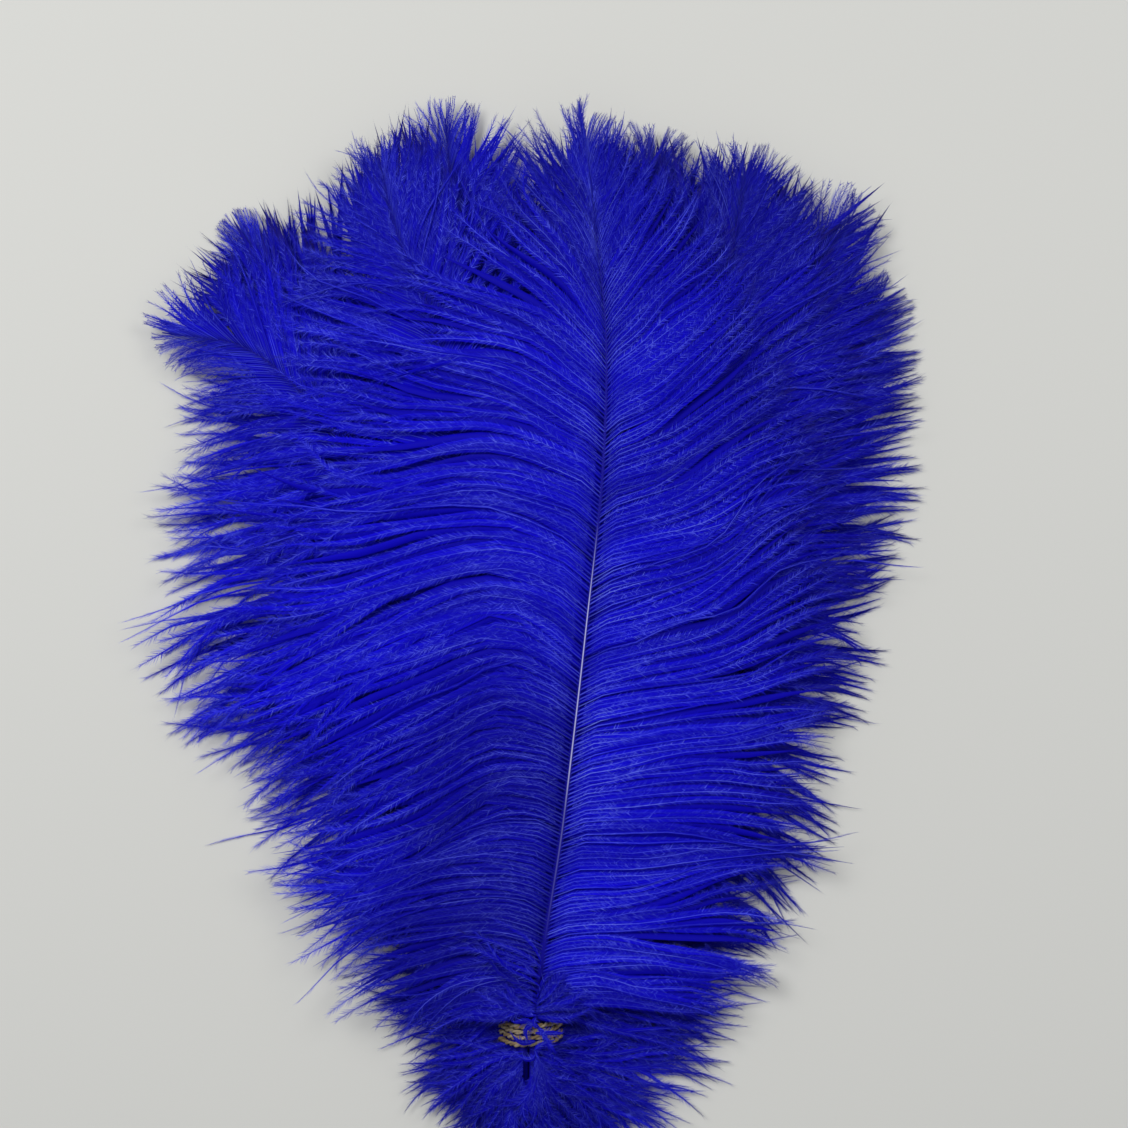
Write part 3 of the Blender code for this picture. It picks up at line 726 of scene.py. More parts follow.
# %% The flues of a vane
class Flues:
    """Flues on their curves, with their dye, its painted light and shade, and the widths of their
    parts at every point.
    """

    def __init__(self, curves, rng, stem, web, reach, lean, tint, tip, glint, begin, models=SHORT,
                 sheen=1.0):
        self.curves, self.rng, self.begin, self.models = curves, rng, begin, models
        whole = np.ones((len(curves), CURVE_POINTS))
        self.stem, self.web, self.reach = stem * whole, web * whole, reach * whole
        self.lean, self.tint, self.glint = lean * whole, tint * whole, glint * whole
        self.tip, self.sheen = tip, sheen * whole
        self.length = np.linalg.norm(np.diff(curves, axis=1), axis=2).sum(axis=1)
        self.across, self.up = frames(curves, rng.normal(0, ROLL, len(curves)))

    def place(self, rows, share, aside, rise):
        """Points at shares of the curves, a distance aside and above."""
        return (at(self.curves[rows], share) + at(self.across[rows], share) * aside[..., None]
                + at(self.up[rows], share) * rise[..., None])

    # the colours get painted shade and light from each flue's tone, and a dull end
    def dye_and_painted_light(self, rows, share, dye):
        """The dye along some flues, made darker or lighter by their tone and by painted light and
        shade; it fades to a dull dark end.
        """
        fade = ease((share - self.tip[rows][:, None]) / TIP_FADE)[..., None]
        tint = at(self.tint[rows], np.clip(share, 0, 1))[..., None]
        return np.clip(dye * tint * (1 - fade) + TIP_DYE * fade, 0, BRIGHTEST)

    def lay(self, heap, pitch):
        """Adds the stems, the webs and the barbules, which stand pitch apart."""
        self.lay_stems(heap)
        self.lay_webs(heap)
        sizes = np.array(sorted(BARBULES))
        many = self.length * (1 - self.begin) / pitch
        wanted = np.abs(np.log(sizes[None, :] / many[:, None])).argmin(axis=1)
        for kind, pairs in enumerate(sizes):
            rows = np.nonzero(wanted == kind)[0]
            if len(rows):
                self.lay_barbules(heap, rows, pairs)

    def lay_stems(self, heap):
        """Adds the stems, with a painted glint on their tops that is stronger on some flues and in
        some places.
        """
        rows = np.arange(len(self.curves))
        model, faces = self.models[0]
        share = np.broadcast_to(model[:, 1], (len(rows), len(model)))
        thick = at(self.stem, share)
        glint = at(self.glint * self.sheen, share) * self.rng.uniform(0.4, 1.2, (len(rows), 1))
        glint = np.minimum(glint * self.rng.uniform(0.4, 1.0, share.shape), BRIGHTEST_GLINT)
        core = WEB_DYE + (PAINTED_STEM_GLINT - WEB_DYE) * glint[..., None]
        heap.add(self.place(rows, share, model[:, 0] * thick, model[:, 2] * thick * 0.7),
                 faces, self.dye_and_painted_light(rows, share, core))

    def lay_webs(self, heap):
        """Adds the webs, each a strip that slopes down from the stem to both sides."""
        rows = np.arange(len(self.curves))
        model, faces = self.models[1]
        share = np.broadcast_to(model[:, 1], (len(rows), len(model)))
        half = at(self.web, share) + NARROWEST_WEB
        ridge = (np.abs(model[:, 0]) < 0.5)[None, :, None]
        colours = np.where(ridge, self.dye_and_painted_light(rows, share, WEB_DYE),
                           self.dye_and_painted_light(rows, share, EDGE_DYE))
        heap.add(self.place(rows, share, model[:, 0] * half,
                            -WEB_SLOPE * np.abs(model[:, 0]) * half - WEB_DROP), faces, colours)

    def clumps(self, count, pairs):
        """Barbules cling together by twos and threes: how many places each tip moves along to
        the middle of its clump, and two random values that the whole clump has in common."""
        places = np.arange(pairs)
        new = self.rng.uniform(size=(count, 2, pairs)) < CLUMP_BREAKS
        first = np.maximum.accumulate(np.where(new, places, 0), axis=2)
        ends = np.where(np.roll(new, -1, axis=2), places, pairs - 1)
        last = np.minimum.accumulate(ends[..., ::-1], axis=2)[..., ::-1]
        found = [np.clip((first + last) / 2 - places, -2, 2)]
        found += [np.take_along_axis(self.rng.uniform(size=new.shape), first, axis=2)
                  for _ in range(2)]
        return [np.repeat(part.transpose(0, 2, 1).reshape(count, -1), 3, axis=1)
                for part in found]

    def lay_barbules(self, heap, rows, pairs):
        """Adds the rows of barbules of some flues; their tips lean, gather and droop, and each
        carries a painted shine.
        """
        model, faces = BARBULES[pairs]
        shape = (len(rows), len(model))
        is_tip = np.abs(model[:, 0]) > 0.5
        pull, brightness, size = self.clumps(len(rows), pairs)
        step = (1 - self.begin) / pairs
        share = np.broadcast_to(self.begin + step * model[:, 1], shape)
        forward = at(self.lean[rows], np.clip(share, 0, 1)) * self.rng.uniform(0.7, 1.2, shape)
        forward = forward / self.length[rows][:, None] + CLUMP_PULL * step * pull
        share = np.clip(share + is_tip * forward, 0, PAST_TIP)
        far = at(self.reach[rows], np.clip(share, 0, 1)) * (0.55 + 0.55 * size) * self.rng.uniform(
            0.85, 1.25, shape)
        fall = is_tip * (DROOP + DROOP_SPREAD * (self.rng.normal(0, 0.6, shape)
                                                 + 2 * (size - 0.5)))
        shine = (LEAST_SHINE + MOST_SHINE * brightness ** 2) * np.clip(1.1 - np.abs(pull), 0.1, 1)
        shine = np.clip(shine * at(self.sheen[rows], np.clip(share, 0, 1)), 0, 1)
        shine = shine[..., None] * np.where(is_tip, TIP_SHINE, 1.0)[None, :, None]
        colours = self.dye_and_painted_light(rows, share, EDGE_DYE + (PAINTED_GLINT - EDGE_DYE) * shine)
        heap.add(self.place(rows, share, model[:, 0] * far, -fall * far), faces, colours)

# %% [markdown]
# A finished heap becomes one mesh. Its colours, the dye with its painted glints and painted
# shade, go into a point attribute named dye, which the material reads, so the picture of every
# flue travels with the mesh and needs no image. No point goes into the floor or rises more than a
# millimetre over the CAD model.

# %% Pieces and their material
LOWEST, HIGHEST = 0.0002, cad_box[1][2] + 0.0010


def make_piece(name, heap, material):
    """One mesh object from a heap, with its colours in a point attribute."""
    points, triangles = np.vstack(heap.points), np.vstack(heap.triangles)
    points[:, 2] = np.clip(points[:, 2], LOWEST, HIGHEST)
    mesh = bpy.data.meshes.new(name)
    mesh.vertices.add(len(points))
    mesh.vertices.foreach_set("co", points.astype(np.float32).ravel())
    mesh.loops.add(triangles.size)
    mesh.loops.foreach_set("vertex_index", triangles.astype(np.int32).ravel())
    mesh.polygons.add(len(triangles))
    mesh.polygons.foreach_set("loop_start", np.arange(0, triangles.size, 3, dtype=np.int32))
    mesh.update(calc_edges=True)
    mesh.shade_smooth()
    layer = mesh.color_attributes.new("dye", "FLOAT_COLOR", "POINT")
    rgba = np.column_stack([np.vstack(heap.colours), np.ones(len(points))])
    layer.data.foreach_set("color", rgba.astype(np.float32).ravel())
    mesh.materials.append(material)
    piece = bpy.data.objects.new(name, mesh)
    bpy.context.scene.collection.objects.link(piece)
    print(name, len(triangles), "triangles")
    return piece


def dyed_material(name, color, roughness, gloss):
    """A material that takes its colour from the attribute named dye, which on flues and shafts
    also holds painted light.
    """
    made = principled(name, color, roughness, Specular_IOR_Level=gloss)
    nodes, links = made.node_tree.nodes, made.node_tree.links
    dye = nodes.new("ShaderNodeVertexColor")
    dye.layer_name = "dye"
    links.new(dye.outputs["Color"], nodes["Principled BSDF"].inputs["Base Color"])
    return made


# the flues' material: its colour comes from the dye attribute, painted highlights and shade
# included
flue_dye_and_painted_light = dyed_material("flue_dye_and_painted_light", tuple(EDGE_DYE), 0.62, 0.07)

# %% [markdown]
# ## Growing the vanes
# A vane is sown flue by flue from its first flue to the bare tip. Its lengths and angles follow
# the CAD model. Then every flue is given what makes it its own: how far it falls short of the
# vane's edge, how wide its web and barbules are at each distance out, and how light it is, partly
# by its own tone and partly by painted shade, light and glints. The front plume lies on top and is
# seen best, so its flues stand closest and have the finest barbules; a vane that is almost covered
# has fewer.

# %% Lengths and angles of a vane
FOOT_ENDS = 0.12              # the share of a vane up to which foot and fan act
TRIM_STARTS, TRIM_RUN = 0.5, 0.3


def vane_values(plume, hand, share):
    """Length and angles of the flues at shares of the way up a vane, as in the CAD model."""
    low = np.clip(1 - share / FOOT_ENDS, 0.0, 1.0)
    high = np.clip((share - TRIM_STARTS) / TRIM_RUN, 0.0, 1.0)
    length = plume.flue[hand] * FLUE_SHARE(share)
    length = length * (1 - plume.trim[hand] * high) * (1 + plume.foot[hand] * low)
    fan = plume.fan[hand] * low ** 1.5
    opened = OPEN_ANGLE[hand](share) + plume.turn[hand] + fan
    return length, (ROOT_ANGLE(share) + fan, opened, SINK_ANGLE[hand](share) * plume.sink[hand])

# %% Where the flues spring, and how far they reach
FLUE_PITCH, FRONT_FLUE_PITCH = 0.00150, 0.00140
FLUE_CROWDING, FRONT_FLUE_CROWDING = 0.85, 1.08   # above 1, flues stand closer near the root
STRAYS = 0.07


def flue_roots(plume, hand, front, rng):
    """Distances along the shaft at which the flues spring, and their shares up the vane."""
    first, last = plume.run_at(plume.start[hand]), plume.length - plume.bare
    pitch = FRONT_FLUE_PITCH if front else FLUE_PITCH
    even = np.linspace(0, 1, int(1.08 * (last - first) / pitch))
    runs = first + (last - first) * even ** (FRONT_FLUE_CROWDING if front else FLUE_CROWDING)
    runs = runs + rng.normal(0, 0.10 * pitch, len(runs))
    return runs, np.clip((runs - first) / (plume.length - first), 0, 1)


def frayed(length, hand, front, runs, stray, rng):
    """The lengths varied: most flues fall a little short, and strays reach a little further."""
    most, varied = (1.10, 0.36) if front and hand == 0 else (1.02, (0.26, 0.15)[hand])
    return length * (most - varied * rng.beta(1.2, 1.9, len(runs)) * (1 - stray)
                     + stray * rng.uniform(0.0, 0.12, len(runs))
                     + drifting(runs, 0.03, 0.008, rng))

# %% Widths of the parts
# by the distance out from the shaft, apart from UNDER_STEM, which goes by the share of the flue
FRONT_STEM = ramp((0, 0.00020), (0.006, 0.00018), (0.015, 0.00015), (0.100, 0.00009))
FRONT_WEB = ramp((0, 0.0003), (0.003, 0.0005), (0.008, 0.0007), (0.020, 0.0010))
FRONT_REACH = ramp((0, 0.0002), (0.003, 0.0005), (0.008, 0.0013), (0.020, 0.0019))
FRONT_LEAN = (ramp((0, 0.0006), (0.004, 0.0013), (0.020, 0.0024)),
              ramp((0, 0.0006), (0.004, 0.0013), (0.020, 0.0018)))
# FRONT_GLINT, FRONT_GLINT_UP and UNDER_GLINT set how strong the painted glint on the stems is
FRONT_GLINT = ramp((0.006, 0.58), (0.022, 0.62), (0.040, 0.64), (0.070, 0.52))
FRONT_GLINT_UP = ramp((0, 1), (0.55, 1), (0.8, 0.8), (1, 0.6))   # by the share up the vane
UNDER_STEM = ramp((0, 0.00016), (0.15, 0.00014), (1, 0.00008))
UNDER_WEB = ramp((0, 0.0006), (0.004, 0.0009), (0.012, 0.0010))
UNDER_REACH = ramp((0, 0.0006), (0.004, 0.0015), (0.012, 0.0021))
UNDER_LEAN = ramp((0, 0.0009), (0.004, 0.0022), (0.012, 0.0028))
UNDER_GLINT = (0.42, 0.32)


def part_widths(hand, front, share, out):
    """Widths of stem, web and barbules, the barbules' lean, and how strong a stem's painted glint
    is.
    """
    if front:
        return (FRONT_STEM(out), FRONT_WEB(out), FRONT_REACH(out), FRONT_LEAN[hand](out),
                FRONT_GLINT(out) * FRONT_GLINT_UP(share)[:, None])
    return (UNDER_STEM(U), UNDER_WEB(out), UNDER_REACH(out), UNDER_LEAN(out),
            UNDER_GLINT[hand] * np.ones_like(out))

# %% How the flues end
# by the distance that is left to the end of the flue
RIM = (ramp((0, 0.45), (0.002, 0.80), (0.006, 1.05), (0.014, 1)),
       ramp((0, 0.32), (0.002, 0.60), (0.006, 0.90), (0.014, 1)))
LONG_WEB_RIM = ramp((0.006, 0), (0.014, 0.35), (0.028, 1))
SHORT_WEB_RIM = ramp((0.003, 0), (0.009, 0.4), (0.017, 1))
TIP_STARTS, TIP_SPREAD = (0.97, 0.93), 0.03
SMALL_AT_TIP, USUAL_AT_TIP = {"top_left_plume": 0.25}, 0.6

# %% Painted light and shade along and across a vane, with each flue's own tone
# painted shade and light on whole plumes: those on the right are painted darker, some on the left
# a little lighter
PLUME_PAINTED_LIGHT = {"front_plume": 1.0, "inner_left_plume": 1.0, "inner_right_plume": 0.78,
        "right_plume": 0.74, "left_plume": 1.02, "top_right_plume": 0.74,
        "top_left_plume": 1.02, "bottom_right_plume": 0.78, "bottom_left_plume": 1.06}
# painted shade towards the foot and the tip of a vane, deeper at the front plume's tip
PAINTED_LIGHT_UP = ramp((0, 0.85), (0.1, 1), (0.55, 1), (0.8, 0.86), (1, 0.72))
FRONT_PAINTED_LIGHT_UP = ramp((0, 0.85), (0.1, 1), (0.55, 1), (0.8, 0.74), (1, 0.60))
# painted light and shade out along the flues: darker next to the shaft, lighter outwards on the
# left, darker outwards on the right
PAINTED_LIGHT_OUT = (ramp((0, 0.85), (0.004, 1.0), (0.012, 1.07), (0.040, 1.07), (0.075, 1.10),
                 (0.110, 1.14)),
            ramp((0, 0.88), (0.004, 1.02), (0.012, 1.12), (0.040, 1.03), (0.075, 0.88),
                 (0.110, 0.82)))
# painted shade on the lower left vane of the front plume and painted light on its lower right,
# near the shaft
SHADE_LOW = (ramp((0, 0.24), (0.08, 0.34), (0.25, 0.32), (0.45, 0.04)),
             ramp((0, -0.06), (0.08, -0.08), (0.25, -0.10), (0.45, 0.0)))
SHADE_RUN, SHADE_FADE = 0.042, 0.036


def flue_tints(plume, hand, front, runs, share, out, strand, rng):
    """How light each flue is along its length, against the plain dye: a random tone of its own,
    with painted shade and light by plume, up the vane and out along the flue.
    """
    tint = PLUME_PAINTED_LIGHT[plume.name] * np.clip(1 + own(strand, 0.06, rng) + drifting(runs, 0.06, 0.01, rng)
                                      + rng.normal(0, 0.06, len(runs)), 0.7, 1.3)
    tint = tint * (FRONT_PAINTED_LIGHT_UP if front else PAINTED_LIGHT_UP)(share)
    tint = tint[:, None] * PAINTED_LIGHT_OUT[hand](out)
    if front:
        dark = SHADE_LOW[hand](share)[:, None]
        tint = tint * (1 - dark * (1 - ease((out - SHADE_RUN) / SHADE_FADE)))
    return tint


def sheen_bands(runs, out, strand, rng):
    """Wide soft bands of more and less painted sheen, which shift along the shaft."""
    phase = drifting(runs, 0.45, 0.012, rng) + own(strand, 0.12, rng)
    return 0.60 + 0.85 * ease(0.5 + 0.5 * np.sin(2 * pi * (out / 0.055 + phase[:, None])))

# %% One vane
BARBULE_PITCH, FRONT_BARBULE_PITCH, COVERED_BARBULE_PITCH = 0.00060, 0.00048, 0.00090
COVERED = (("inner_right_plume", "right_plume", "top_right_plume", "bottom_right_plume"),
           ("inner_left_plume", "left_plume", "top_left_plume", "bottom_left_plume"))
# the last of these paints the underlay darker, as shade under the flues
UNDERLAY_DROP, UNDERLAY_WIDTH, UNDERLAY_PAINTED_SHADE = 0.0010, 0.0012, 0.72


def lay_underlay(curves, web_rim, out, tint, tips, heap, rng):
    """Plain webs between and under the flues of the front plume, so that it isn't see-through;
    they are painted darker, as shade.
    """
    between = (curves[1:] + curves[:-1]) / 2 - (0, 0, UNDERLAY_DROP)
    Flues(between, rng, 0, (UNDERLAY_WIDTH * web_rim * ease(out / SWING_RUN))[1:], 0, 0,
          UNDERLAY_PAINTED_SHADE * tint[1:], tips[1:], 0, 0, LONG).lay_webs(heap)


def grow_vane(plume, hand, heap, rng):
    """Adds all the flues of one vane to a heap; gives their number and the longest length."""
    front = plume.name == "front_plume"
    runs, share = flue_roots(plume, hand, front, rng)
    length, angles = vane_values(plume, hand, share)
    stray = (rng.uniform(size=len(runs)) < STRAYS).astype(float)
    length = frayed(length, hand, front, runs, stray, rng)
    curves, strand = flue_curves(plume, hand, runs, length, angles, share, stray, rng)
    length = np.linalg.norm(np.diff(curves, axis=1), axis=2).sum(axis=1)
    out = U[None, :] * length[:, None]
    left = length[:, None] - out
    stem, web, reach, lean, glint = part_widths(hand, front, share, out)
    # past the root, mostly the first flue of each strand keeps its painted glint
    glint = glint * (1 - 0.85 * (1 - leading(strand))[:, None] * ease((out - 0.006) / 0.016))
    sheen = sheen_bands(runs, out, strand, rng)
    tint = flue_tints(plume, hand, front, runs, share, out, strand, rng)
    tips = np.clip(rng.normal(TIP_STARTS[hand], TIP_SPREAD, len(runs)), 0.8, 1.0)
    rim = RIM[hand](left)
    web_rim = (LONG_WEB_RIM if front or hand == 0 else SHORT_WEB_RIM)(left)
    at_tip = SMALL_AT_TIP.get(plume.name, USUAL_AT_TIP)
    small = np.interp(share, [0, 0.85, 1], [1, 1, at_tip])[:, None]
    plain = (1 - 0.7 * stray)[:, None]
    if front:
        lay_underlay(curves, web_rim, out, tint, tips, heap, rng)
    pitch = FRONT_BARBULE_PITCH if front else BARBULE_PITCH
    if plume.name in COVERED[hand]:
        pitch = COVERED_BARBULE_PITCH
    Flues(curves, rng, stem, web * web_rim * small * plain, reach * rim * small * plain,
          lean * small, tint, tips, glint, 0.03 if front else 0.30,
          LONG if front else SHORT, sheen).lay(heap, pitch)
    return len(length), length.max()

# %% All the vanes
for number, plume in enumerate(PLUMES):
    for hand, word in ((0, "left"), (1, "right")):
        heap = Heap()
        count, longest = grow_vane(plume, hand, heap, np.random.default_rng(10 * number + hand))
        print(count, "flues, the longest", round(1000 * float(longest)), "mm:", end=" ")
        piece = make_piece(plume.name + "_" + word + "_vane", heap, flue_dye_and_painted_light)
        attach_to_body(piece, "root")
        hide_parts(plume.name)

# %% [markdown]
# ## Down round the tie
# Where the vanes begin, the flues are loose down. They radiate from the quills in every
# direction, also backwards over the quills, and hide most of the twine. They could be
# combed as particle hair, but that doesn't outlast an export, so each tuft is a table row: a
# short stretch of one quill, a range of directions and lengths, and how high its flues start.

# %% Tufts of down
# plume, roots past the tie, compass directions (0 ahead, 90 right), lengths, flues, and the
# heights at which they start and, at most, end
TUFTS = (
    ("bottom_left_plume", (-0.020, -0.004), (204, 262), (0.018, 0.040), 56, (0.002, 0.0031)),
    ("bottom_right_plume", (-0.020, -0.002), (156, 92), (0.028, 0.062), 64, (0.002, 0.0031)),
    ("left_plume", (-0.014, -0.004), (214, 272), (0.024, 0.040), 44, (0.0075, 0.0060)),
    ("bottom_left_plume", (0.006, 0.012), (248, 272), (0.034, 0.050), 26, (0.005, 0.004)),
    ("right_plume", (-0.014, -0.004), (150, 88), (0.030, 0.062), 44, (0.0075, 0.0060)),
    ("bottom_right_plume", (0.006, 0.012), (112, 88), (0.040, 0.062), 30, (0.005, 0.004)),
    ("inner_left_plume", (-0.016, -0.005), (192, 252), (0.024, 0.038), 42, (0.015, 0.0103)),
    ("inner_right_plume", (-0.016, -0.005), (170, 110), (0.026, 0.046), 46, (0.015, 0.0103)),
    ("inner_left_plume", (0.0085, 0.020), (258, 306), (0.028, 0.050), 40, (0.018, 0.0119)),
    ("inner_right_plume", (0.0085, 0.018), (90, 30), (0.028, 0.052), 40, (0.018, 0.0119)),
    ("front_plume", (-0.014, -0.0055), (218, 142), (0.016, 0.030), 44, (0.0185, 0.0122)),
    ("front_plume", (0.0075, 0.012), (80, 30), (0.024, 0.046), 14, (0.0205, 0.0133)),
    ("front_plume", (0.0075, 0.012), (276, 304), (0.018, 0.034), 12, (0.0200, 0.0130)),
    ("front_plume", (-0.0035, 0.0045), (66, 150), (0.010, 0.018), 3, (0.0195, 0.0127)),
    ("front_plume", (-0.0045, 0.0040), (226, 290), (0.008, 0.014), 3, (0.0195, 0.0127)),
    ("front_plume", (0.0058, 0.0050), (196, 226), (0.008, 0.011), 2, (0.0195, 0.0160)),
    ("bottom_left_plume", (-0.005, 0.006), (256, 280), (0.030, 0.046), 16, (0.004, 0.0032)),
    ("bottom_right_plume", (-0.005, 0.006), (104, 80), (0.030, 0.054), 16, (0.004, 0.0032)),
    ("right_plume", (0.006, 0.048), (98, 72), (0.066, 0.078), 76, (0.009, 0.0080)),
    ("left_plume", (0.006, 0.030), (268, 292), (0.040, 0.056), 30, (0.009, 0.0070)),
    ("front_plume", (0.014, 0.052), (300, 322), (0.030, 0.052), 22, (0.0225, 0.0235)),
)

# %% Curves of the down
DOWN_STRANDS = (1, 2, 3, 4)
DOWN_CURL, DOWN_STRAND_CURL, CURL_LENGTH = 34, 24, 0.03   # degrees, for a flue of this length
DOWN_FALL_STARTS, DOWN_FALL = 0.006, 0.026
LOWEST_DOWN, LOWEST_HIGH_DOWN = 0.001, 0.9
DOWN_ARCH, DOWN_ARCH_RUN = 0.0022, 0.03


def tuft_curves(plume, roots, compass, lengths, count, heights, rng):
    """Points of the loose flues of a tuft: they start on the quill, fan out and sag."""
    order = np.linspace(0, 1, count)
    runs = np.array([plume.run_at(y) for y in roots[0] + (roots[1] - roots[0]) * order])
    runs = runs + rng.normal(0, 0.001, count)
    strand = groups(count, DOWN_STRANDS, rng)
    way = np.radians(compass[0] + (compass[1] - compass[0]) * order + own(strand, 6, rng)
                     + rng.normal(0, 5, count))
    length = lengths[0] + (lengths[1] - lengths[0]) * order
    length = length * rng.uniform(0.72, 1.08, count)
    turn = np.radians((own(strand, DOWN_STRAND_CURL, rng) + rng.normal(0, DOWN_CURL, count))
                      * (CURL_LENGTH / length))
    wave = np.radians(rng.uniform(6, 20, (count, 1))) * np.sin(
        2 * pi * (U[None, :] * 1.3 + rng.uniform(size=(count, 1))))
    plan = run_out(plume.plan(runs), way[:, None] + turn[:, None] * U ** 1.5 + wave, length)
    plan = drawn_to_middle(plan, strand, np.broadcast_to(0.5 * ease((U - 0.1) / 0.9),
                                                         plan.shape[:2]))
    out = U[None, :] * length[:, None]
    start = np.maximum(plume.height(runs), heights[0])[:, None]
    lowest = LOWEST_DOWN if heights[1] < heights[0] else LOWEST_HIGH_DOWN * heights[1]
    end = rng.uniform(lowest, heights[1], (count, 1))
    z = start + (end - start) * ease((out - DOWN_FALL_STARTS) / DOWN_FALL)
    arch = rng.uniform(0.0, DOWN_ARCH, (count, 1))
    z = z + arch * np.sin(pi * np.clip(out / DOWN_ARCH_RUN, 0, 1))
    return np.stack([plan[..., 0] + TIE_X, plan[..., 1] + TIE_Y, z], axis=-1)

# %% Growing the down
# by the share of the flue
DOWN_STEM = ramp((0, 0.00015), (1, 0.00006))
DOWN_WEB = ramp((0, 0.0003), (0.15, 0.0007), (0.5, 0.0007), (0.8, 0.0002), (1, 0))
DOWN_REACH = ramp((0, 0.0004), (0.2, 0.0021), (1, 0.0021))
DOWN_LEAN = ramp((0, 0.0010), (0.2, 0.0024), (1, 0.0024))
DOWN_RIM = ramp((0, 1), (0.7, 1), (0.92, 0.6), (1, 0.2))
# the first of these paints the down darker, as shade; the second is how strong its painted glint
# is
DOWN_PAINTED_SHADE, DOWN_GLINT, DOWN_BARBULE_PITCH = 0.76, 0.3, 0.0005


def grow_tuft(plume, values, heap, rng):
    """Adds the flues of one tuft to a heap."""
    curves = tuft_curves(plume, *values, rng)
    count = len(curves)
    Flues(curves, rng, DOWN_STEM(U), DOWN_WEB(U), DOWN_REACH(U) * DOWN_RIM(U), DOWN_LEAN(U),
          DOWN_PAINTED_SHADE * np.clip(1 + rng.normal(0, 0.12, (count, 1)), 0.7, 1.3),
          np.clip(rng.normal(0.93, 0.03, count), 0.8, 1.0), DOWN_GLINT, 0.04).lay(
              heap, DOWN_BARBULE_PITCH)


print(sum(row[4] for row in TUFTS), "flues of down in", len(TUFTS), "tufts")
for plume in PLUMES:
    heap = Heap()
    for number, (name, *values) in enumerate(TUFTS):
        if name == plume.name:
            grow_tuft(plume, values, heap, np.random.default_rng(300 + number))
    if heap.count:
        piece = make_piece(plume.name + "_down", heap, flue_dye_and_painted_light)
        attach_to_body(piece, "root")
        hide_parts(plume.name)

# %% [markdown]
# ## The fringe at the far edge
# Near its tip a shaft is as thin as a flue, and the flues there turn up. Together those of all
# the plumes make one dense dark fringe along the far edge of the bunch. They stand square to
# that edge and their ends are as fine as hairs. A flue's length and its direction depend on each
# other here, so both are found in a few rounds: where it would end says which way the edge faces
# there, and that says how long it has to be.

# %% The far edge
FAR_EDGE = ramp((-0.120, 0.234), (-0.106, 0.252), (-0.094, 0.261), (-0.072, 0.267),
                (-0.042, 0.293), (-0.026, 0.292), (-0.010, 0.285), (0.022, 0.288),
                (0.080, 0.279), (0.096, 0.266), (0.110, 0.242), (0.118, 0.224))
EDGE_WAY = ramp((-0.120, -72), (-0.090, -24), (-0.050, -14), (0.0, -2), (0.050, 10), (0.090, 32),
                (0.115, 66))
LONGEST, WIDEST, SHORTEST = 0.095, 0.117, 0.007   # past these a flue is left out
EDGE_ROUNDS = 5
START_TURN = (12, 48)         # degrees from the shaft at which the flues of the fringe start


def fringe_curves(plume, count, back, rng):
    """Points of flues that start near the tip, on both sides, and turn up to the far edge."""
    runs = plume.length - rng.uniform(0.003, back, count)
    root = plume.plan(runs)
    start = (plume.heading(runs)
             + rng.choice((-1, 1), count) * np.radians(rng.uniform(*START_TURN, count)))
    stray = np.radians(rng.normal(0, 11, count))
    short = rng.uniform(-0.005, 0.007, count)
    mean, length = start, np.full(count, 0.02)
    for _ in range(EDGE_ROUNDS):
        end = root[:, 0] + length * np.sin(mean)
        final = np.radians(EDGE_WAY(end)) + stray
        mean = 0.35 * start + 0.65 * final
        length = (FAR_EDGE(end) - root[:, 1] + short) / np.maximum(np.cos(mean), 0.3)
        length = np.clip(length, 0.005, 1.1 * LONGEST)
    way = start[:, None] + (final - start)[:, None] * ease(U / 0.7)
    plan = run_out(root, way, length)
    kept = (length > SHORTEST) & (length < LONGEST) & (np.abs(plan[:, -1, 0]) < WIDEST)
    runs, length, plan = runs[kept], length[kept], plan[kept]
    out = U[None, :] * length[:, None]
    high, own_layer = plume.height(runs), layer_height(plume.layer, plan[..., 0], plan[..., 1])
    z = own_layer + (high[:, None] - own_layer) * np.exp(-out / FALL_RUN)
    z = z + rng.normal(-0.0003, 0.0003, (len(runs), 1)) * ease(out / 0.01)
    curves = np.stack([plan[..., 0] + TIE_X, plan[..., 1] + TIE_Y, z], axis=-1)
    return curves, length[:, None] - out

# %% Fringe
FRINGE_STEM = ramp((0, 0.00013), (1, 0.00008))                      # by the share of the flue
FRINGE_RIM = ramp((0, 0.05), (0.003, 0.22), (0.008, 0.60), (0.015, 1))   # by what is left of it
FRINGE_WEB_RIM = ramp((0.004, 0), (0.009, 0.4), (0.016, 1))
FRINGE_WEB, FRINGE_REACH, FRINGE_LEAN = 0.0009, 0.0019, 0.0026
# the first of these paints the fringe darker, as shade; the second is how strong its painted glint
# is
FRINGE_PAINTED_SHADE, FRINGE_GLINT, FRINGE_BARBULE_PITCH = 0.80, 0.10, 0.0007


def grow_fringe(plume, count, back, heap, rng):
    """Adds the fringe of one plume to a heap."""
    curves, left = fringe_curves(plume, count, back, rng)
    count = len(curves)
    Flues(curves, rng, FRINGE_STEM(U), FRINGE_WEB * FRINGE_WEB_RIM(left),
          FRINGE_REACH * FRINGE_RIM(left), FRINGE_LEAN,
          FRINGE_PAINTED_SHADE * PLUME_PAINTED_LIGHT[plume.name] * np.clip(1 + rng.normal(0, 0.1, (count, 1)), 0.7, 1.3),
          np.clip(rng.normal(0.84, 0.05, count), 0.7, 1.0), FRINGE_GLINT, 0.04).lay(
              heap, FRINGE_BARBULE_PITCH)


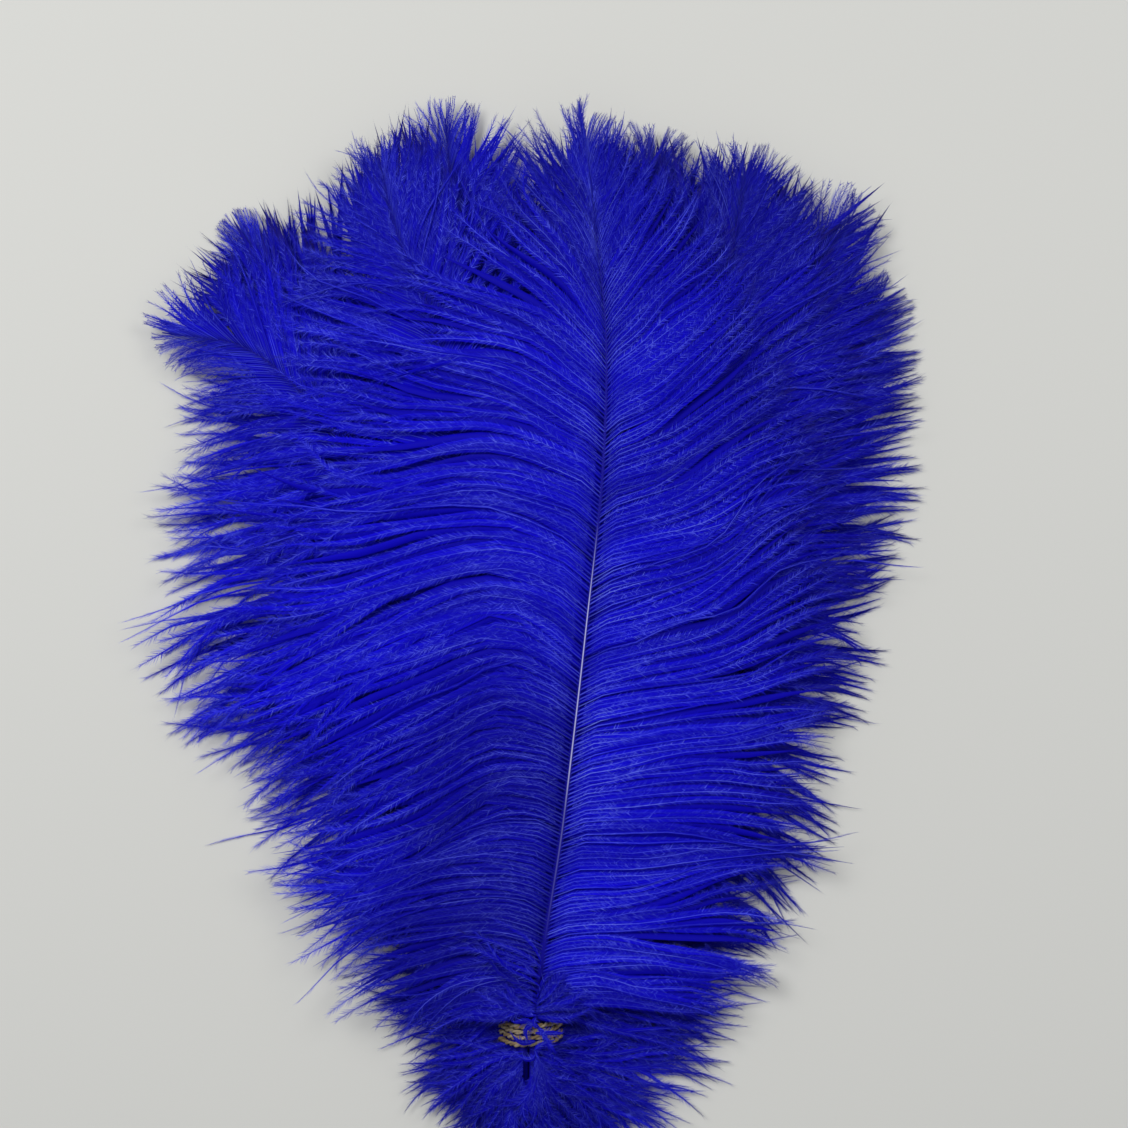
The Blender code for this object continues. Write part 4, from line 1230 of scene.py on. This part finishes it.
# plume: flues, and how far back from its tip they start
FRINGES = {"front_plume": (74, 0.055), "inner_left_plume": (96, 0.060),
           "inner_right_plume": (100, 0.060), "right_plume": (100, 0.080),
           "left_plume": (150, 0.085), "top_right_plume": (90, 0.060),
           "top_left_plume": (60, 0.075), "bottom_right_plume": (100, 0.070),
           "bottom_left_plume": (130, 0.070)}
for number, plume in enumerate(PLUMES):
    heap = Heap()
    grow_fringe(plume, *FRINGES[plume.name], heap, np.random.default_rng(500 + number))
    piece = make_piece(plume.name + "_fringe", heap, flue_dye_and_painted_light)
    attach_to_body(piece, "root")
    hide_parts(plume.name)

# %% [markdown]
# ## Shafts
# Each shaft tapers from the cut quill to the tip of its plume. The flues spring from its top, so
# little of it shows. Along the lower half of the front plume its crest is painted pale, a painted
# highlight where it catches the light. A curve with a round bevel takes a radius at every point,
# so the taper needs no modelling.

# %% Shafts
# the shafts' material takes its colour from the dye attribute, which holds the painted crest
# highlight
shaft_dye_and_painted_crest = dyed_material("shaft_dye_and_painted_crest", (0.012, 0.010, 0.24), 0.5, 0.1)
SHAFT_POINTS, SHAFT_ROUNDNESS = 90, 8


def make_shaft(plume):
    """A tapering rod along the plume's course, from the cut end of the quill to the tip."""
    runs = plume.length * np.linspace(0, 1, SHAFT_POINTS)
    plan, heights, radii = plume.plan(runs), plume.height(runs), plume.radius(runs)
    curve = bpy.data.curves.new(plume.name + "_shaft", "CURVE")
    curve.dimensions = "3D"
    curve.bevel_depth = 1.0
    curve.bevel_resolution = SHAFT_ROUNDNESS
    curve.use_fill_caps = True
    line = curve.splines.new("POLY")
    line.points.add(SHAFT_POINTS - 1)
    for point, place, height, radius in zip(line.points, plan, heights, radii):
        point.co = (place[0] + TIE_X, place[1] + TIE_Y, height, 1.0)
        point.radius = radius
    shaft = bpy.data.objects.new(plume.name + "_shaft", curve)
    bpy.context.scene.collection.objects.link(shaft)
    bpy.ops.object.select_all(action="DESELECT")
    shaft.select_set(True)
    bpy.context.view_layer.objects.active = shaft
    bpy.ops.object.convert(target="MESH")
    shaft = bpy.context.object
    bpy.ops.object.shade_smooth()
    shaft.data.materials.clear()
    shaft.data.materials.append(shaft_dye_and_painted_crest)
    return shaft

# %% Dyeing the shafts, and painting a highlight on the front crest
# a painted highlight along the crest of the front plume's shaft: its colour, where it shows past
# the tie, and the share of the radius above which it lies
PAINTED_CREST_HIGHLIGHT = np.array((0.60, 0.60, 0.95))
SHAFT_DYE = np.array((0.005, 0.003, 0.30))
CREST_PALE = ramp((0.030, 0), (0.072, 0.25), (0.085, 1), (0.135, 1), (0.160, 0))   # past the tie
CREST_STARTS = 0.99           # share of the radius above which a point belongs to the crest


def dye_shaft_and_paint_crest(plume, shaft):
    """Blue all round; the crest of the front plume's shaft carries a pale painted highlight in its
    lower half.
    """
    places = np.array([v.co for v in shaft.data.vertices])
    y = places[:, 1] - TIE_Y
    runs = np.interp(y, plume.course[:, 1], plume.runs)
    top = (places[:, 2] - plume.height(runs)) / plume.radius(runs) > CREST_STARTS
    pale = top * CREST_PALE(y) if plume.name == "front_plume" else 0.0
    pale = np.broadcast_to(pale, y.shape)[:, None]
    colours = SHAFT_DYE + (PAINTED_CREST_HIGHLIGHT - SHAFT_DYE) * pale
    layer = shaft.data.color_attributes.new("dye", "FLOAT_COLOR", "POINT")
    rgba = np.column_stack([colours, np.ones(len(y))])
    layer.data.foreach_set("color", rgba.astype(np.float32).ravel())


for plume in PLUMES:
    shaft = make_shaft(plume)
    dye_shaft_and_paint_crest(plume, shaft)
    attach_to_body(shaft, "root")
    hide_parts(plume.name)

# %% [markdown]
# ## The twine
# The twine is two dry plies twisted round each other, wound four times round the quills and not
# laid very evenly. A ply is a round tube whose course turns about the twine's course, and loose
# fibres stand off it. The fluff of the plumes covers part of it. The course is a taut loop round
# the quills in their slots, repeated with small steps along them.

# %% Course of the twine
TWINE_GAP, TWINE_RADIUS = 0.0006, 0.00075
TWINE_CLEARANCE = QUILL_RADIUS + TWINE_GAP + TWINE_RADIUS
TURN_PLACES = (0.0050, 0.0036, 0.0014, -0.0004, -0.0026)
TURN_STEPS, LOOP_ANGLES = 90, 720
TIE_REACH = 0.011             # half the width of the tie
SAG_OVER, SAG_UNDER = -0.0009, 0.0004


def around_quills(count):
    """Even places (x, z) on a taut loop round all the quills, from its underside on."""
    slots = np.array([plume.slot for plume in PLUMES])
    angles = np.linspace(0, 2 * pi, LOOP_ANGLES, endpoint=False) - pi / 2
    out = np.column_stack([np.cos(angles), np.sin(angles)])
    loop = slots[np.argmax(out @ slots.T, axis=1)] + TWINE_CLEARANCE * out
    loop = np.vstack([loop, loop[:1]])
    runs = np.concatenate([[0], np.cumsum(np.linalg.norm(np.diff(loop, axis=0), axis=1))])
    even = np.linspace(0, runs[-1], count, endpoint=False)
    return np.column_stack([np.interp(even, runs, loop[:, k]) for k in (0, 1)])


turns = len(TURN_PLACES) - 1
loop = around_quills(TURN_STEPS)
steps = np.arange(turns * TURN_STEPS)
course = np.empty((len(steps), 3))
course[:, 0], course[:, 2] = loop[steps % TURN_STEPS].T
course[:, 1] = np.interp(steps / TURN_STEPS, np.arange(turns + 1), TURN_PLACES)
sag = 1 - (course[:, 0] / TIE_REACH) ** 2
upper = course[:, 2] > loop[:, 1].mean()
course[:, 1] += np.where(upper, SAG_OVER, SAG_UNDER) * np.maximum(sag, 0)
course[:, 1] += 0.00025 * np.sin(steps * 0.21) + 0.0002 * np.sin(steps * 0.083 + 1)
course += (TIE_X, TIE_Y, 0)
print("the twine is", round(float(np.linalg.norm(np.diff(course, axis=0), axis=1).sum()), 3), "m")

# %% Helpers for plies
PLY_SIDES = 9


def beside(path):
    """Unit vectors away from the quills and along them, at every point of a path."""
    along = np.gradient(path, axis=0)
    along /= np.linalg.norm(along, axis=1, keepdims=True)
    away = np.cross(along, (0, 1.0, 0))
    away /= np.linalg.norm(away, axis=1, keepdims=True)
    return away, np.cross(away, along)


def lay_ply(heap, path, radii, colours):
    """Adds a round tube; it ends in points where its radius runs out."""
    away, over = beside(path)
    turn = np.linspace(0, 2 * pi, PLY_SIDES, endpoint=False)[None, :, None]
    rings = path[:, None] + radii[:, None, None] * (np.cos(turn) * away[:, None]
                                                    + np.sin(turn) * over[:, None])
    i, k = [g.ravel() for g in np.meshgrid(np.arange(len(path) - 1), np.arange(PLY_SIDES),
                                           indexing="ij")]
    here, there = i * PLY_SIDES + k, i * PLY_SIDES + (k + 1) % PLY_SIDES
    faces = np.vstack([np.column_stack([here, there + PLY_SIDES, there]),
                       np.column_stack([here, here + PLY_SIDES, there + PLY_SIDES])])
    heap.add(rings.reshape(1, -1, 3), faces, np.repeat(colours, PLY_SIDES, axis=0)[None])

# %% Plies
PLY_RADIUS, PLY_AWAY, PLY_TWIST = 0.00048, 0.00038, 0.0062
TWINE_DYE = np.array((0.30, 0.212, 0.125))
PALE_TWINE_DYE = np.array((0.42, 0.345, 0.240))
rng = np.random.default_rng(77)
heap = Heap()
away, over = beside(course)
along_run = np.concatenate([[0], np.cumsum(np.linalg.norm(np.diff(course, axis=0), axis=1))])
ends = np.clip(np.minimum(steps, steps[::-1]) / 3, 0.02, 1)
for ply in (0, 1):
    phase = 2 * pi * along_run / PLY_TWIST + ply * pi
    phase = phase + 0.5 * np.sin(along_run / 0.004)
    path = course + PLY_AWAY * (np.cos(phase)[:, None] * away + np.sin(phase)[:, None] * over)
    radii = PLY_RADIUS * (1 + 0.16 * np.sin(along_run / 0.0021 + ply)) * ends
    pale = np.clip(0.5 + 0.8 * np.sin(along_run / 0.013 + 2 * ply), 0, 1)[:, None]
    colours = TWINE_DYE + (PALE_TWINE_DYE - TWINE_DYE) * pale
    lay_ply(heap, path, radii, colours * rng.uniform(0.7, 1.15, (len(path), 1)))
print("each ply has", len(course), "rings of", PLY_SIDES, "points")

# %% [markdown]
# Loose fibres stand off dry twine all over. Each is a stem, as on the flues, that starts on the
# course, runs along it one way or the other and lifts away in a bend.

# %% Loose fibres
FIBRES, FIBRE_RADIUS, FIBRE_START = 70, 0.00006, 0.0007
FIBRE_REACH = (0.002, 0.0055)
END_MARGIN = 6                # no fibre springs from the last few points of the course
roots = rng.integers(END_MARGIN, len(course) - END_MARGIN, FIBRES)
lean = (rng.normal(0, 0.5, (FIBRES, 1)) * over[roots]
        + rng.uniform(0.1, 0.5, (FIBRES, 1)) * away[roots])
way = np.gradient(course, axis=0)[roots]
way = way / np.linalg.norm(way, axis=1, keepdims=True) * rng.choice((-1, 1), (FIBRES, 1))
reach = rng.uniform(*FIBRE_REACH, (FIBRES, 1, 1))
fibres = (course + FIBRE_START * away)[roots][:, None] + reach * (
    U[:, None] * way[:, None] + (U ** 1.6)[:, None] * lean[:, None])
model, faces = SHORT[0]
share = np.broadcast_to(model[:, 1], (FIBRES, len(model)))
across, up = frames(fibres, np.zeros(FIBRES))
heap.add(at(fibres, share) + FIBRE_RADIUS * (at(across, share) * model[:, 0][:, None]
                                             + at(up, share) * model[:, 2][:, None]),
         faces, PALE_TWINE_DYE)

# %% The twine as one piece
twine_dye = dyed_material("dry_twine", tuple(TWINE_DYE), 0.85, 0.15)
piece = make_piece("twine_turns", heap, twine_dye)
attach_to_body(piece, "root")
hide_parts("twine_tie")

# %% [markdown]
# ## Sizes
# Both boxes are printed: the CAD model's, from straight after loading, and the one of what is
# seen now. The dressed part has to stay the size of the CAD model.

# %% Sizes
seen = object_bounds()
for name, box in (("CAD", cad_box), ("visual", seen)):
    print(name, [round(float(b - a) * 1000, 1) for a, b in zip(*box)],
          [[round(c * 1000, 1) for c in corner] for corner in box])
